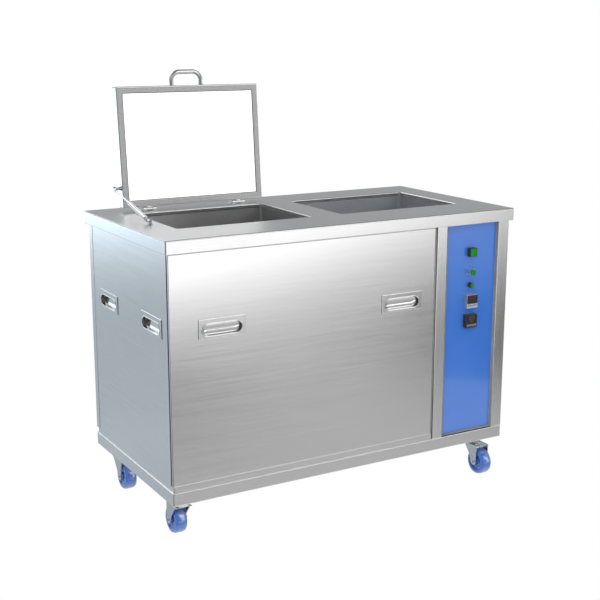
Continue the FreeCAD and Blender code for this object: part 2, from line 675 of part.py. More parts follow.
def drain_valve(cx):
    body = turned(VALVE, (cx, VALVE_Y, VALVE_Z), Y)
    body = body.fuse(cylinder(7.0, 24.0, (cx, VALVE_Y, VALVE_Z), Z))
    body = body.cut(cylinder(7.5, 120, (cx, VALVE_Y - 60, VALVE_Z), Y))
    stem = cylinder(STEM_R, 9.0, (cx, VALVE_Y, VALVE_Z + 23.5), Z)
    return body.fuse(stem).removeSplitter()


def drain_lever(cx):
    """Quarter-turn lever, closed across the pipe."""
    lever = fuse([cylinder(8.5, 7.0, (cx, VALVE_Y, VALVE_Z + 24.1), Z),
                  rounded_box(cx, VALVE_Y - 6, VALVE_Z + 26.0,
                              cx + 68, VALVE_Y + 6, VALVE_Z + 30.0, 5.9)])
    return lever.cut(cylinder(STEM_R + RUN, 20, (cx, VALVE_Y, VALVE_Z + 15), Z))


save("drain_pipes", *[drain_pipe(cx) for cx in TANK_CX])
save("drain_valves", *[drain_valve(cx) for cx in TANK_CX])
save("drain_lever_left", drain_lever(TANK_CX[0]))
save("drain_lever_right", drain_lever(TANK_CX[1]))

# ------------------------------------------------------------------ lid, upright then tilted back
AXIS_Y, AXIS_Z = 221.5, 934.5       # lid hinge axis (along X)
LID_TILT = 4.88                     # raised lid leans back by this angle
LID_X0, LID_X1 = -528.5, -25.5
LID_W, LID_H, LID_T = LID_X1 - LID_X0, 382.8, 36.0
LID_Y0 = AXIS_Y - 2.13              # front face, before the tilt
LID_Y1 = LID_Y0 + LID_T
LID_Z0 = AXIS_Z + 7.35              # lower face, before the tilt
LID_Z1 = LID_Z0 + LID_H
LID_RIM = 20.0                      # visible rim around the lid liner
LID_SHEET = 1.5
HANDLE_X = (-329.0, -225.0)
HANDLE_R, HANDLE_OUT, HANDLE_BEND = 7.3, 51.0, 28.0
HANDLE_FOOT = [(0, 0), (0, 9.2), (0.8, 9.0), (1.6, 8.2), (2.0, 7.0), (2.0, 0)]


def tilted(shape):
    return turn(shape, (0.0, AXIS_Y, AXIS_Z), X, -LID_TILT)


def lid_block(inset, y0, y1):
    """Block over the lid's outline, inset on all four sides."""
    return box(LID_X0 + inset, y0, LID_Z0 + inset, LID_X1 - inset, y1, LID_Z1 - inset)


def lid_pan():
    outer = round_edges(lid_block(0, LID_Y0, LID_Y1), 3.0, lambda e: True)
    inner = lid_block(LID_SHEET, LID_Y0 + LID_SHEET, LID_Y1 - LID_SHEET)
    # folded return around the window
    fold = lid_block(LID_RIM - LID_SHEET, LID_Y0 + 0.8, LID_Y0 + 9)
    window = lid_block(LID_RIM, LID_Y0 - 5, LID_Y0 + 12)
    pan = fuse([outer.cut(inner), fold]).cut(window)

    def window_rim(edge):
        middle = edge.CenterOfMass
        return (at(edge, Y, LID_Y0)
                and abs(middle.x - (LID_X0 + LID_X1) / 2) < LID_W / 2 - 12
                and abs(middle.z - (LID_Z0 + LID_Z1) / 2) < LID_H / 2 - 12)
    return tilted(round_edges(pan, 0.9, window_rim))


def lid_liner():
    return tilted(lid_block(LID_RIM + 0.25, LID_Y0 + 1.2, LID_Y0 + 4.2))


def lid_handle():
    """Bent bar on the lid's upper edge, with a round foot at each end."""
    xl, xr = HANDLE_X
    y = LID_Y0 + LID_T / 2
    foot_z, bar_z = LID_Z1 + GAP, LID_Z1 + HANDLE_OUT - HANDLE_R
    mid = HANDLE_BEND * ARC_MID
    start, end = Vec(xl, y, foot_z), Vec(xr, y, foot_z)
    left = [Vec(xl, y, bar_z - HANDLE_BEND), Vec(xl + mid, y, bar_z - mid),
            Vec(xl + HANDLE_BEND, y, bar_z)]
    right = [Vec(xr - HANDLE_BEND, y, bar_z), Vec(xr - mid, y, bar_z - mid),
             Vec(xr, y, bar_z - HANDLE_BEND)]
    path = Part.Wire([Part.makeLine(start, left[0]), Part.Arc(*left).toShape(),
                      Part.makeLine(left[2], right[0]), Part.Arc(*right).toShape(),
                      Part.makeLine(right[2], end)])
    feet = [turned(HANDLE_FOOT, (x, y, foot_z), Z) for x in HANDLE_X]
    return tilted(fuse([swept(path, HANDLE_R, start, Z)] + feet))


save("lid_pan", lid_pan())
save("lid_liner", lid_liner())
save("lid_handle", lid_handle())

# ------------------------------------------------------------------ lid hinges
HINGE_XC = (-438.5, -115.5)
HINGE_W = 47.0
HINGE_R = 4.8
KNUCKLE = 15.0          # share of the width for each outer knuckle
PIN_R = 2.5
# (distance along X from the hinge's left end, radius)
HINGE_PIN = [(-4.6, 0), (-4.6, 2.2), (-4.0, 3.4), (-3.0, 3.9), (-1.4, 3.9), (-0.1, 3.0),
             (-0.1, PIN_R), (HINGE_W + 1.2, PIN_R), (HINGE_W + 2.0, 1.8), (HINGE_W + 2.0, 0)]


def hinge_bar(radius, x, length):
    return cylinder(radius, length, (x, AXIS_Y, AXIS_Z), X)


def hinge_bore(xc):
    return hinge_bar(PIN_R + RUN, xc - HINGE_W / 2 - 10, 80)


def hinge_base(xc):
    """Two outer knuckles and a leaf on the worktop."""
    xa, xb = xc - HINGE_W / 2, xc + HINGE_W / 2
    length = KNUCKLE - 0.2
    z0, z1 = TOP_Z + GAP, TOP_Z + 2.05
    knuckles = [hinge_bar(HINGE_R, x, length) for x in (xa, xb - length)]
    webs = [box(x, AXIS_Y, z0, x + length, AXIS_Y + 9, z1 + 1.2) for x in (xa, xb - length)]
    leaf = box(xa, AXIS_Y + 8.5, z0, xb, AXIS_Y + 30, z1)
    return fuse(knuckles + webs + [leaf]).cut(hinge_bore(xc))


def hinge_leaf(xc):
    """A middle knuckle and a leaf under the lid."""
    xa, xb = xc - HINGE_W / 2, xc + HINGE_W / 2
    x0, x1 = xa + KNUCKLE + 0.1, xb - KNUCKLE - 0.1
    z0, z1 = LID_Z0 - 2.3, LID_Z0 - GAP
    leaf = fuse([hinge_bar(HINGE_R, x0, x1 - x0),
                 box(x0, AXIS_Y, z0 - 2.6, x1, AXIS_Y + 9, z1),
                 box(xa, AXIS_Y + 8.5, z0, xb, AXIS_Y + 30, z1)])
    return tilted(leaf.cut(hinge_bore(xc)))


def hinge_pin(xc):
    return turned(HINGE_PIN, (xc - HINGE_W / 2, AXIS_Y, AXIS_Z), X)


save("hinge_bases", *[hinge_base(xc) for xc in HINGE_XC])
save("hinge_leaves", *[hinge_leaf(xc) for xc in HINGE_XC])
save("hinge_pins", *[hinge_pin(xc) for xc in HINGE_XC])

# ------------------------------------------------------------------ gas strut
STRUT_X = -553.0
LOW_Y, LOW_Z = -35.0, 941.0         # lower pivot
HIGH_Y, HIGH_Z = 235.0, 1004.0      # upper pivot
STRUT_LOW = (STRUT_X, LOW_Y, LOW_Z)
STRUT_L = math.hypot(HIGH_Y - LOW_Y, HIGH_Z - LOW_Z)
STRUT_ANGLE = math.degrees(math.atan2(HIGH_Z - LOW_Z, HIGH_Y - LOW_Y))
BODY_END = 150.0                    # end of the cylinder from the lower pivot
ROD_R, PIVOT_R = 3.0, 3.0
POST_X = STRUT_X + 8.6              # post on the worktop, on the lid side of the strut
STUD_L = LID_X0 - (STRUT_X + 4.6)   # lid stud, ending just short of the strut's cap

# (distance from the lower pivot, radius)
STRUT_BODY = [(10, 0), (10, 4.4), (14, 4.4), (15.5, 7.0), (BODY_END - 2, 7.0),
              (BODY_END, 5.6), (BODY_END, 0)]
STRUT_ROD = [(109, 0), (109, 4.85), (116, 4.85), (116, ROD_R), (STRUT_L - 8, ROD_R),
             (STRUT_L - 8, 0)]
ROD_SOCKET = [(STRUT_L - 18, 0), (STRUT_L - 18, 4.2), (STRUT_L - 4, 4.2), (STRUT_L - 4, 0)]
# (distance along the piece's own axis, radius)
ROD_CAP = [(0, 0), (0, 7.0), (6.5, 7.0), (8.0, 5.8), (8.0, 0)]
POST = [(0.05, 0), (0.05, 8.0), (1.6, 8.0), (2.6, 6.6), (3.2, 4.0), (17.0, 4.0),
        (18.4, 3.0), (18.8, 0)]
POST_PIN = [(-14.4, 0), (-14.4, 3.6), (-13.8, 4.6), (-12.8, 5.0), (-12.7, PIVOT_R),
            (0, PIVOT_R), (0, 0)]
STUD = [(0, 0), (0, 8.0), (2.0, 8.0), (2.0, 5.4), (9.0, 5.4), (9.0, 3.6), (STUD_L, 3.6),
        (STUD_L, 0)]


def raised(shape):
    """Swing a strut piece, made level along +Y, up to the strut's angle."""
    return turn(shape, STRUT_LOW, X, STRUT_ANGLE)


def strut_cylinder():
    eye = cylinder(6.6, 8.0, (STRUT_X - 4, LOW_Y, LOW_Z), X)
    neck = cylinder(4.0, 9.0, (STRUT_X, LOW_Y + 3, LOW_Z), Y)
    bores = [cylinder(5.0, 126.0, (STRUT_X, LOW_Y + 16.5, LOW_Z), Y),
             cylinder(ROD_R + RUN, 40.0, (STRUT_X, LOW_Y + 120, LOW_Z), Y),
             cylinder(PIVOT_R + RUN, 30, (STRUT_X - 15, LOW_Y, LOW_Z), X)]
    return raised(fuse([turned(STRUT_BODY, STRUT_LOW, Y), eye, neck]).cut(bores))


def strut_rod():
    cap = turned(ROD_CAP, (STRUT_X + 4, LOW_Y + STRUT_L, LOW_Z), LEFT)
    return raised(fuse([turned(STRUT_ROD, STRUT_LOW, Y), turned(ROD_SOCKET, STRUT_LOW, Y), cap]))


def strut_bracket():
    """Post on the worktop, with the pivot pin through the strut's eye."""
    return fuse([turned(POST, (POST_X, LOW_Y, TOP_Z), Z),
                 turned(POST_PIN, (POST_X, LOW_Y, LOW_Z), X)])


save("strut_cylinder", strut_cylinder())
save("strut_rod", strut_rod())
save("strut_bracket", strut_bracket())
save("strut_stud", turned(STUD, (LID_X0 - GAP, HIGH_Y, HIGH_Z), LEFT))

# ------------------------------------------------------------------ castors
TRAIL = 40.3            # axle from the swivel axis
WHEEL_R, WHEEL_W = 44.0, 40.0
FORK_HALF, FORK_T = 26.5, 3.0
FORK_BACK, FORK_REACH = -19.0, 53.5     # ends of the crown along the trail
CROWN_Z = 103.5
PLATE_Z0, PLATE_Z1 = BASE_Z0 - 3.05, BASE_Z0 - GAP
KING_R, AXLE_R = 6.0, 5.0

# (height from the plate's lower face, radius)
UPPER_RACE = [(0.2, 0), (0.2, 26), (-3, 27.5), (-7, 27.5), (-9.5, 25.0), (-9.5, 0)]
# (height over the crown, radius)
LOWER_RACE = [(-0.2, 0), (-0.2, 24.0), (8, 26.5), (16, 26.5), (17.2, 25.0), (17.2, 0)]
# (height over the floor, radius)
KINGPIN = [(93.5, 0), (93.5, 7.5), (95.5, 9.5), (CROWN_Z - 3.3, 9.5), (CROWN_Z - 3.3, KING_R),
           (PLATE_Z0 - 0.9, KING_R), (PLATE_Z0 - 0.9, 10.0), (PLATE_Z1 - 0.4, 10.0),
           (PLATE_Z1 - 0.4, 0)]
BOLT = [(PLATE_Z0 - 5.5, 0), (PLATE_Z0 - 5.5, 6.0), (PLATE_Z0 - 4.8, 6.5),
        (PLATE_Z0 - GAP, 6.5), (PLATE_Z0 - GAP, 4.0), (GUSSET_TOP + GAP, 4.0),
        (GUSSET_TOP + GAP, 6.5), (BASE_Z0 + 10.5, 6.5), (BASE_Z0 + 10.5, 0)]
# (distance along X from the wheel's middle, radius); head on the left, nut on the right
AXLE = [(-FORK_HALF - 1.6, 0), (-FORK_HALF - 1.6, 5.6), (-FORK_HALF - 1.1, 6.6),
        (-FORK_HALF - GAP, 7.0), (-FORK_HALF - GAP, AXLE_R), (FORK_HALF + GAP, AXLE_R),
        (FORK_HALF + GAP, 8.0), (FORK_HALF + 5.0, 8.0), (FORK_HALF + 5.6, 7.0),
        (FORK_HALF + 5.6, 5.0), (FORK_HALF + 8.0, 5.0), (FORK_HALF + 8.0, 0)]
# fork leg outline: (distance from the swivel axis along the trail, height over the floor),
# with the arc round the axle between the two tables
LEG_OUTER = [(FORK_BACK, CROWN_Z), (FORK_REACH, CROWN_Z), (52.9, 90.9), (52.6, 64.7),
             (52.4, 50.0)]
LEG_ARC_R, LEG_ARC_ANGLES = 12.0, (-5, -25, -45, -65, -85, -105)
LEG_INNER = [(33.2, 33.2), (29.0, 35.6), (26.0, 39.4), (24.3, 44.0), (23.5, 48.0),
             (21.5, 55.2), (17.3, 65.0), (12.6, 71.2), (7.7, 76.8), (2.1, 83.7),
             (-4.2, 91.6), (-8.6, 96.4), (-13.0, 99.0), (FORK_BACK, 99.6)]
# wheel side, hub to rim: (distance from the wheel's mid plane, radius)
WHEEL_SIDE = [(23.2, AXLE_R + RUN), (23.2, 11.0), (22.4, 12.0), (15.0, 13.5), (13.2, 16.0),
              (12.8, 23.0), (13.8, 26.5), (17.6, 28.4), (18.9, 29.3), (WHEEL_W / 2, 31.0)]
# crowned tread, rim to mid plane: (distance in from the rim's side, radius)
TREAD = [(0, 31.0), (0.05, 34.0), (0.5, 37.0), (1.7, 39.8), (3.6, 41.8), (6.2, 43.1),
         (9.8, 43.75), (14.0, 43.95), (WHEEL_W / 2, WHEEL_R)]


def caster_plate(x, y):
    """Fixed plate and upper race."""
    plate = rounded_box(x - 45, y - 37.5, PLATE_Z0, x + 45, y + 37.5, PLATE_Z1, 8.0)
    plate = round_rim(plate, 0.8, Z, PLATE_Z0)
    plate = plate.fuse(turned(UPPER_RACE, (x, y, PLATE_Z0), Z))
    plate = plate.cut([cylinder(KING_R + RUN, 60, (x, y, 90), Z),
                       cylinder(10.3, 20, (x, y, PLATE_Z0 - 1.0), Z)]
                      + bolt_holes(x, y, PLATE_Z0 - 3))
    return plate.removeSplitter()


def fork(x, y, trail):
    """Folded crown with two tapering legs, and the lower race."""
    arc = [(TRAIL + LEG_ARC_R * math.cos(math.radians(a)),
            WHEEL_R + LEG_ARC_R * math.sin(math.radians(a))) for a in LEG_ARC_ANGLES]
    parts = []
    for side in (-1, 1):
        points = [Vec(x + side * FORK_HALF, y + trail * out, z)
                  for out, z in LEG_OUTER + arc + LEG_INNER]
        outline = Part.Face(Part.makePolygon(points + [points[0]]))
        parts.append(outline.extrude(Vec(-side * FORK_T, 0, 0)))
    parts.append(box(x - FORK_HALF, y + trail * FORK_BACK, CROWN_Z - 3.0,
                     x + FORK_HALF, y + trail * FORK_REACH, CROWN_Z))
    parts.append(turned(LOWER_RACE, (x, y, CROWN_Z), Z))
    body = round_edges(fuse(parts), 2.4, lambda e: along(e, Y) and at(e, Z, CROWN_Z)
                       and (at(e, X, x - FORK_HALF) or at(e, X, x + FORK_HALF)))
    return body.cut([cylinder(KING_R + RUN, 60, (x, y, 80), Z),
                     cylinder(AXLE_R + RUN, 80, (x - 40, y + trail * TRAIL, WHEEL_R), X)])


def mirrored(points):
    return [(-a, r) for a, r in reversed(points)]


def wheel(x, y):
    """Wheel with a crowned tread, dished sides and a hub boss."""
    def place(points):
        return [Vec(x + a, y, WHEEL_R + r) for a, r in points]

    def lines(points):
        return [Part.makeLine(a, b) for a, b in zip(points, points[1:])]

    tread = [(WHEEL_W / 2 - inset, r) for inset, r in TREAD]
    right, left = place(WHEEL_SIDE), place(mirrored(WHEEL_SIDE))
    edges = lines(right) + [spline(place(tread + mirrored(tread[:-1])))] + lines(left)
    edges.append(Part.makeLine(left[-1], right[0]))
    return Part.Face(Part.Wire(edges)).revolve(Vec(x, y, WHEEL_R), X, 360)


def axle(x, y):
    """Bolt through both legs, with a round recess in its head."""
    recess = cylinder(3.4, 4.0, (x - FORK_HALF - 2.5, y, WHEEL_R), X)
    return turned(AXLE, (x, y, WHEEL_R), X).cut(recess)


plates, kingpins, bolts = [], [], []
for name, side, y, trail in CASTERS:
    x = side * CASTER_X
    axle_y = y + trail * TRAIL
    plates.append(caster_plate(x, y))
    kingpins.append(turned(KINGPIN, (x, y, 0), Z))
    bolts += [turned(BOLT, (bx, by, 0), Z) for bx, by in bolt_points(x, y)]
    save("fork_" + name, fork(x, y, trail))
    save("wheel_" + name, wheel(x, axle_y))
    save("axle_" + name, axle(x, axle_y))
save("caster_plates", *plates)
save("caster_kingpins", *kingpins)
save("caster_bolts", *bolts)
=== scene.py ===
"""A stainless twin-tank cabinet on casters, with a hinged lid and a recessed control bay.

Metres, +Z up, wheels on the floor near z = 0. The front faces -Y and the left side -X.
The CAD pieces get their materials, then strips and beads of painted shade for gaps and
recesses and the display digits are added, and last the studio: world, floor, light and camera.
Azimuths are in degrees from +Y (behind) towards +X (right), so 180 is straight in front;
elevations are in degrees above level.
"""
import math

import bmesh
import bpy
from mathutils import Matrix, Vector


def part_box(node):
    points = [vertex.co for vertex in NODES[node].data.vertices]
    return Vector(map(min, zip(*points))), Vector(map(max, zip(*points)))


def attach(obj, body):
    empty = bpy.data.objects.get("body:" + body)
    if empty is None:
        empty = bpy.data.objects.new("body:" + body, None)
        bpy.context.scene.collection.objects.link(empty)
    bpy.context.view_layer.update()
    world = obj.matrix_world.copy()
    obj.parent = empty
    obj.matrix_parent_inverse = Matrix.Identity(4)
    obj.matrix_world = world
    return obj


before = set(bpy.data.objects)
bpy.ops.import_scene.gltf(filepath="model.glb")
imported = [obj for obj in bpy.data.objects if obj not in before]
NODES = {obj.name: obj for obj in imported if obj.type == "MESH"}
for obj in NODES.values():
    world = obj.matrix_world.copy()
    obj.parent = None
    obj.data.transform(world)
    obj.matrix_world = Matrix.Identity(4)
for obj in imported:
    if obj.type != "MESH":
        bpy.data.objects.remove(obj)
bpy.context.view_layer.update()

SCENE = bpy.context.scene
WHITE = (1.0, 1.0, 1.0)
DEGREES = 180 / math.pi
WHEELS = ("front_left", "front_right", "rear_left", "rear_right")


# ------------------------------------------------------------------ node graph helpers
class Graph:
    """Short ways to add and link the shader nodes of one tree."""

    def __init__(self, tree):
        self.tree = tree
        tree.nodes.clear()

    def node(self, kind, **settings):
        node = self.tree.nodes.new(kind)
        for name, value in settings.items():
            setattr(node, name, value)
        return node

    def put(self, socket, value):
        """Link a socket or set a plain value; a three-part colour gets full alpha."""
        if isinstance(value, bpy.types.NodeSocket):
            self.tree.links.new(value, socket)
        else:
            if socket.type == "RGBA" and len(value) == 3:
                value = (*value, 1.0)
            socket.default_value = value

    def fill(self, node, values):
        """Put several values, keyed by input name or number."""
        for key, value in values.items():
            self.put(node.inputs[key], value)
        return node

    def calc(self, operation, *values):
        node = self.node("ShaderNodeMath", operation=operation)
        return self.fill(node, dict(enumerate(values))).outputs[0]

    def mul(self, first, second):
        return self.calc("MULTIPLY", first, second)

    def invert(self, value):
        return self.calc("SUBTRACT", 1.0, value)

    def add(self, base, value, amount):
        """base + value * amount"""
        return self.calc("MULTIPLY_ADD", value, amount, base)

    def vary(self, base, noise, amount):
        """Swing base up and down by a noise centred on 0.5."""
        return self.add(base, self.calc("SUBTRACT", noise, 0.5), amount)

    def vector(self, operation, *values, output="Vector"):
        node = self.node("ShaderNodeVectorMath", operation=operation)
        return self.fill(node, dict(enumerate(values))).outputs[output]

    def dot(self, first, second):
        return self.vector("DOT_PRODUCT", first, second, output="Value")

    def scale(self, vector, factor):
        node = self.node("ShaderNodeVectorMath", operation="SCALE")
        return self.fill(node, {0: vector, "Scale": factor}).outputs["Vector"]

    def split(self, vector):
        return self.fill(self.node("ShaderNodeSeparateXYZ"), {0: vector}).outputs

    def angles(self, x, y, z):
        """Azimuth and elevation of a unit direction, in degrees."""
        azimuth = self.mul(self.calc("ARCTAN2", x, y), DEGREES)
        return azimuth, self.mul(self.calc("ARCSINE", z), DEGREES)

    def mix(self, factor, first, second):
        node = self.node("ShaderNodeMix", data_type="RGBA")
        return self.fill(node, {0: factor, 6: first, 7: second}).outputs[2]

    def remap(self, value, over, to=(0.0, 1.0), smooth=False):
        """Carry the range `over` on to the range `to`, clamped at both ends."""
        kind = "SMOOTHSTEP" if smooth else "LINEAR"
        node = self.node("ShaderNodeMapRange", interpolation_type=kind, clamp=True)
        return self.fill(node, dict(enumerate((value, *over, *to)))).outputs[0]

    def coords(self, stretch=(1, 1, 1), shift=(0, 0, 0), turn=(0, 0, 0)):
        place = self.node("ShaderNodeTexCoord").outputs["Object"]
        values = {"Vector": place, "Location": shift, "Rotation": turn, "Scale": stretch}
        return self.fill(self.node("ShaderNodeMapping"), values).outputs[0]

    def noise(self, scale, detail, rough=0.5, distort=0.0,
              stretch=(1, 1, 1), shift=(0, 0, 0), at=None):
        at = at or self.coords(stretch, shift)
        values = {"Vector": at, "Scale": scale, "Detail": detail,
                  "Roughness": rough, "Distortion": distort}
        return self.fill(self.node("ShaderNodeTexNoise"), values).outputs[0]

    def grain(self, axis):
        """The finest noise, drawn out along one axis."""
        return self.noise(scale=1.0, detail=2.0, rough=0.6, stretch=GRAIN[axis])

    def voronoi(self, scale, output, shift=(0, 0, 0)):
        values = {"Vector": self.coords(shift=shift), "Scale": scale}
        return self.fill(self.node("ShaderNodeTexVoronoi"), values).outputs[output]

    def bump(self, height, distance, strength=1.0, normal=None):
        values = {"Strength": strength, "Distance": distance, "Height": height}
        if normal is not None:
            values["Normal"] = normal
        return self.fill(self.node("ShaderNodeBump"), values).outputs[0]

    def normal(self):
        return self.node("ShaderNodeNewGeometry").outputs["Normal"]

    def bevel(self, radius, samples):
        node = self.node("ShaderNodeBevel", samples=samples)
        return self.fill(node, {"Radius": radius}).outputs[0]

    def edges(self, radius):
        """1 on worn convex and concave edges, 0 on the flats."""
        bend = self.invert(self.dot(self.bevel(radius, samples=4), self.normal()))
        return self.remap(bend, over=(0.006, 0.12), smooth=True)

    def mirror_lamp(self, azimuth, elevation, soft):
        """1 where the mirrored sight line falls inside a lamp's span of angles, else 0."""
        geometry = self.node("ShaderNodeNewGeometry")
        sight, normal = geometry.outputs["Incoming"], geometry.outputs["Normal"]
        twice = self.mul(self.dot(sight, normal), 2.0)
        mirrored = self.vector("SUBTRACT", self.scale(normal, twice), sight)
        half = soft / 2.0

        def inside(angle, low, high):
            rise = self.remap(angle, over=(low - half, low + half), smooth=True)
            fall = self.remap(angle, over=(high - half, high + half), to=(1.0, 0.0), smooth=True)
            return self.mul(rise, fall)

        across, up = self.angles(*self.split(mirrored))
        return self.mul(inside(across, *azimuth), inside(up, *elevation))


def principled(name):
    """A new material with its graph and its Principled node."""
    material = bpy.data.materials.new(name)
    material.use_nodes = True
    g = Graph(material.node_tree)
    output = g.node("ShaderNodeOutputMaterial")
    bsdf = g.node("ShaderNodeBsdfPrincipled")
    g.put(output.inputs[0], bsdf.outputs[0])
    return material, g, bsdf


def toned(color, factor, lift=0.0):
    return tuple(min(1.0, part * factor + lift) for part in color)


# ------------------------------------------------------------------ kinds of material
# Noise frequency along x, y, z for a grain that runs along one axis ("n": no direction).
GRAIN = {"x": (16, 1500, 1500), "y": (1500, 16, 1500), "z": (1500, 1500, 16), "n": (620,) * 3}
BANDING = {"x": (3, 150, 150), "y": (150, 3, 150), "z": (150, 150, 3), "n": (60,) * 3}


def steel(name, rough, axis="x", base=0.80, tint=WHITE, grain=1.0, wave=1.0, wear=1.0,
          speckle=0.0, edge=0.0014, fold=0.0016, flat_rough=None, painted_light_ramp=None,
          shade=None, shade_to=0.22, painted_glint=None):
    """Satin stainless: stretched grain, sheet waviness, burnished edges, faint smears.

    edge and fold are bevel radii for wear and for softened folds. flat_rough is the
    roughness of upward faces, fade a ramp of painted light along x, shade a direction whose
    faces darken to shade_to as painted shade, and glint a painted highlight: a lamp mirrored
    as emission.
    """
    material, g, bsdf = principled(name)
    fine = g.grain(axis)
    band = g.noise(scale=1.0, detail=3.0, rough=0.55, stretch=BANDING[axis], shift=(3.1, 1.7, 0.4))
    blot = g.noise(scale=3.6, detail=3.0, rough=0.55, distort=0.6, shift=(0.3, 2.2, 5.1))
    smear = g.noise(scale=17.0, detail=4.0, rough=0.65, distort=1.4, shift=(7.3, 0.2, 1.1))
    edges = g.edges(edge)
    patches = g.noise(scale=45.0, detail=3.0, rough=0.6)
    worn = g.mul(edges, g.remap(patches, over=(0.35, 0.65), to=(0.45 * wear, wear)))

    value = g.vary(base, fine, amount=0.10 * grain)
    value = g.vary(value, band, amount=0.07 * grain)
    value = g.vary(value, blot, amount=0.035)
    value = g.add(value, worn, amount=0.06)
    if speckle:
        specks = g.noise(scale=900.0, detail=1.0, shift=(1.3, 4.2, 2.1))
        value = g.vary(value, specks, amount=speckle)
    # painted light: a brightness ramp along x scales the colour
    if painted_light_ramp:
        value = g.mul(value, g.remap(g.split(g.coords())[0], smooth=True, **painted_light_ramp))
    # painted shade: faces turned towards the given direction are darkened
    if shade:
        facing = g.dot(g.normal(), shade)
        value = g.mul(value, g.remap(facing, over=(0.15, 0.75), to=(1.0, shade_to), smooth=True))

    if flat_rough is not None:
        upward = g.split(g.normal())[2]
        rough = g.remap(upward, over=(0.6, 0.95), to=(rough, flat_rough), smooth=True)
    rough = g.vary(rough, blot, amount=0.03)
    rough = g.vary(rough, band, amount=0.05 * grain)
    rough = g.add(rough, g.remap(smear, over=(0.58, 0.75)), amount=0.015)
    rough = g.add(rough, worn, amount=-0.06)

    waviness = g.noise(scale=5.0, detail=1.0, rough=0.4, shift=(2.0, 9.0, 4.0))
    normal = g.bump(waviness, distance=0.00016 * wave, normal=g.bevel(fold, samples=8))
    normal = g.bump(band, distance=0.0000009 * grain, strength=0.8, normal=normal)
    normal = g.bump(fine, distance=0.00000014 * grain, normal=normal)
    g.fill(bsdf, {"Base Color": g.scale(tint, value), "Metallic": 1.0,
                  "Roughness": g.calc("MAXIMUM", rough, 0.06), "Normal": normal})
    # painted highlight: emission where the mirrored sight line meets a lamp
    if painted_glint:
        lamp = g.mirror_lamp(painted_glint["azimuth"], painted_glint["elevation"], soft=7.0)
        g.fill(bsdf, {"Emission Color": WHITE,
                      "Emission Strength": g.mul(lamp, painted_glint["strength"])})
    return material


def polished(name, base, rough, tint=WHITE, axis="x"):
    """Bright drawn or turned metal with fine draw lines and light handling marks."""
    material, g, bsdf = principled(name)
    line = g.grain(axis)
    blot = g.noise(scale=26.0, detail=3.0, rough=0.6, distort=0.8)
    edges = g.edges(0.0008)
    value = g.vary(base, line, amount=0.08)
    value = g.vary(value, blot, amount=0.06)
    value = g.add(value, edges, amount=0.05)
    rough = g.vary(rough, blot, amount=0.10)
    rough = g.vary(rough, line, amount=0.06)
    g.fill(bsdf, {"Base Color": g.scale(tint, value), "Metallic": 1.0,
                  "Roughness": g.calc("MAXIMUM", rough, 0.04),
                  "Normal": g.bump(line, distance=0.000003)})
    return material


def cast(name, base=0.52, rough=0.42, tint=(1.0, 1.0, 1.02), metallic=1.0):
    """Cast, plated or bare machined metal with a fine pebbled skin and rubbed edges."""
    material, g, bsdf = principled(name)
    skin = g.noise(scale=700.0, detail=3.0, rough=0.6)
    blot = g.noise(scale=38.0, detail=3.0, rough=0.6, distort=0.5, shift=(3, 1, 2))
    edges = g.edges(0.0009)
    value = g.vary(base, blot, amount=0.16)
    value = g.vary(value, skin, amount=0.12)
    value = g.add(value, edges, amount=0.18)
    rough = g.vary(rough, blot, amount=0.35 * rough)
    rough = g.add(rough, edges, amount=-0.12)
    g.fill(bsdf, {"Base Color": g.scale(tint, value), "Metallic": metallic,
                  "Roughness": g.calc("MAXIMUM", rough, 0.08),
                  "Normal": g.bump(skin, distance=0.00003, strength=0.8)})
    return material


def zinc(name, base=0.62, rough=0.30):
    """Bright zinc plate: faint crystalline patches, dull film, rubbed edges."""
    cold, warm = (0.96, 1.0, 1.05), (1.03, 1.0, 0.90)
    material, g, bsdf = principled(name)
    crystals = g.voronoi(scale=420.0, output="Color", shift=(0.2, 0.1, 0.7))
    crystals = g.dot(crystals, (0.33, 0.33, 0.33))
    film = g.noise(scale=60.0, detail=4.0, rough=0.6, distort=1.0)
    edges = g.edges(0.0009)
    value = g.vary(base, crystals, amount=0.10)
    value = g.vary(value, film, amount=0.14)
    value = g.add(value, edges, amount=0.14)
    warmth = g.remap(film, over=(0.42, 0.66), to=(0.0, 0.35))
    rough = g.vary(rough, film, amount=0.22)
    rough = g.add(rough, edges, amount=-0.08)
    g.fill(bsdf, {"Base Color": g.mix(warmth, g.scale(cold, value), g.scale(warm, value)),
                  "Metallic": 1.0, "Roughness": g.calc("MAXIMUM", rough, 0.08),
                  "Normal": g.bump(film, distance=0.00004, strength=0.6)})
    return material


def plastic(name, color, rough, vary, skin=900.0, depth=0.00003, edge=1.35, coat=0.0,
            specular=0.5, dust=0.0):
    """Moulded plastic or paint: fine skin, slow colour drift, lighter handled edges."""
    material, g, bsdf = principled(name)
    texture = g.noise(scale=skin, detail=2.0, rough=0.55)
    drift = g.noise(scale=9.0, detail=3.0, rough=0.6, distort=0.4, shift=(1.1, 2.3, 0.7))
    edges = g.edges(0.0008)
    shown = g.mix(g.remap(drift, over=(0.3, 0.7)), toned(color, 1 - vary), toned(color, 1 + vary))
    shown = g.mix(g.mul(edges, 0.7), shown, toned(color, edge, lift=0.01))
    if dust:
        dusty = g.noise(scale=120.0, detail=4.0, rough=0.7, distort=0.6)
        dusty = g.remap(dusty, over=(0.5, 0.75), to=(0.0, dust))
        shown = g.mix(dusty, shown, (0.45, 0.44, 0.42))
    rough = g.vary(rough, drift, amount=0.16)
    rough = g.vary(rough, texture, amount=0.10)
    g.fill(bsdf, {"Base Color": shown, "Roughness": g.calc("MAXIMUM", rough, 0.05),
                  "Specular IOR Level": specular,
                  "Normal": g.bump(texture, distance=depth, strength=0.8)})
    if coat:
        g.fill(bsdf, {"Coat Weight": coat, "Coat Roughness": 0.08})
    return material


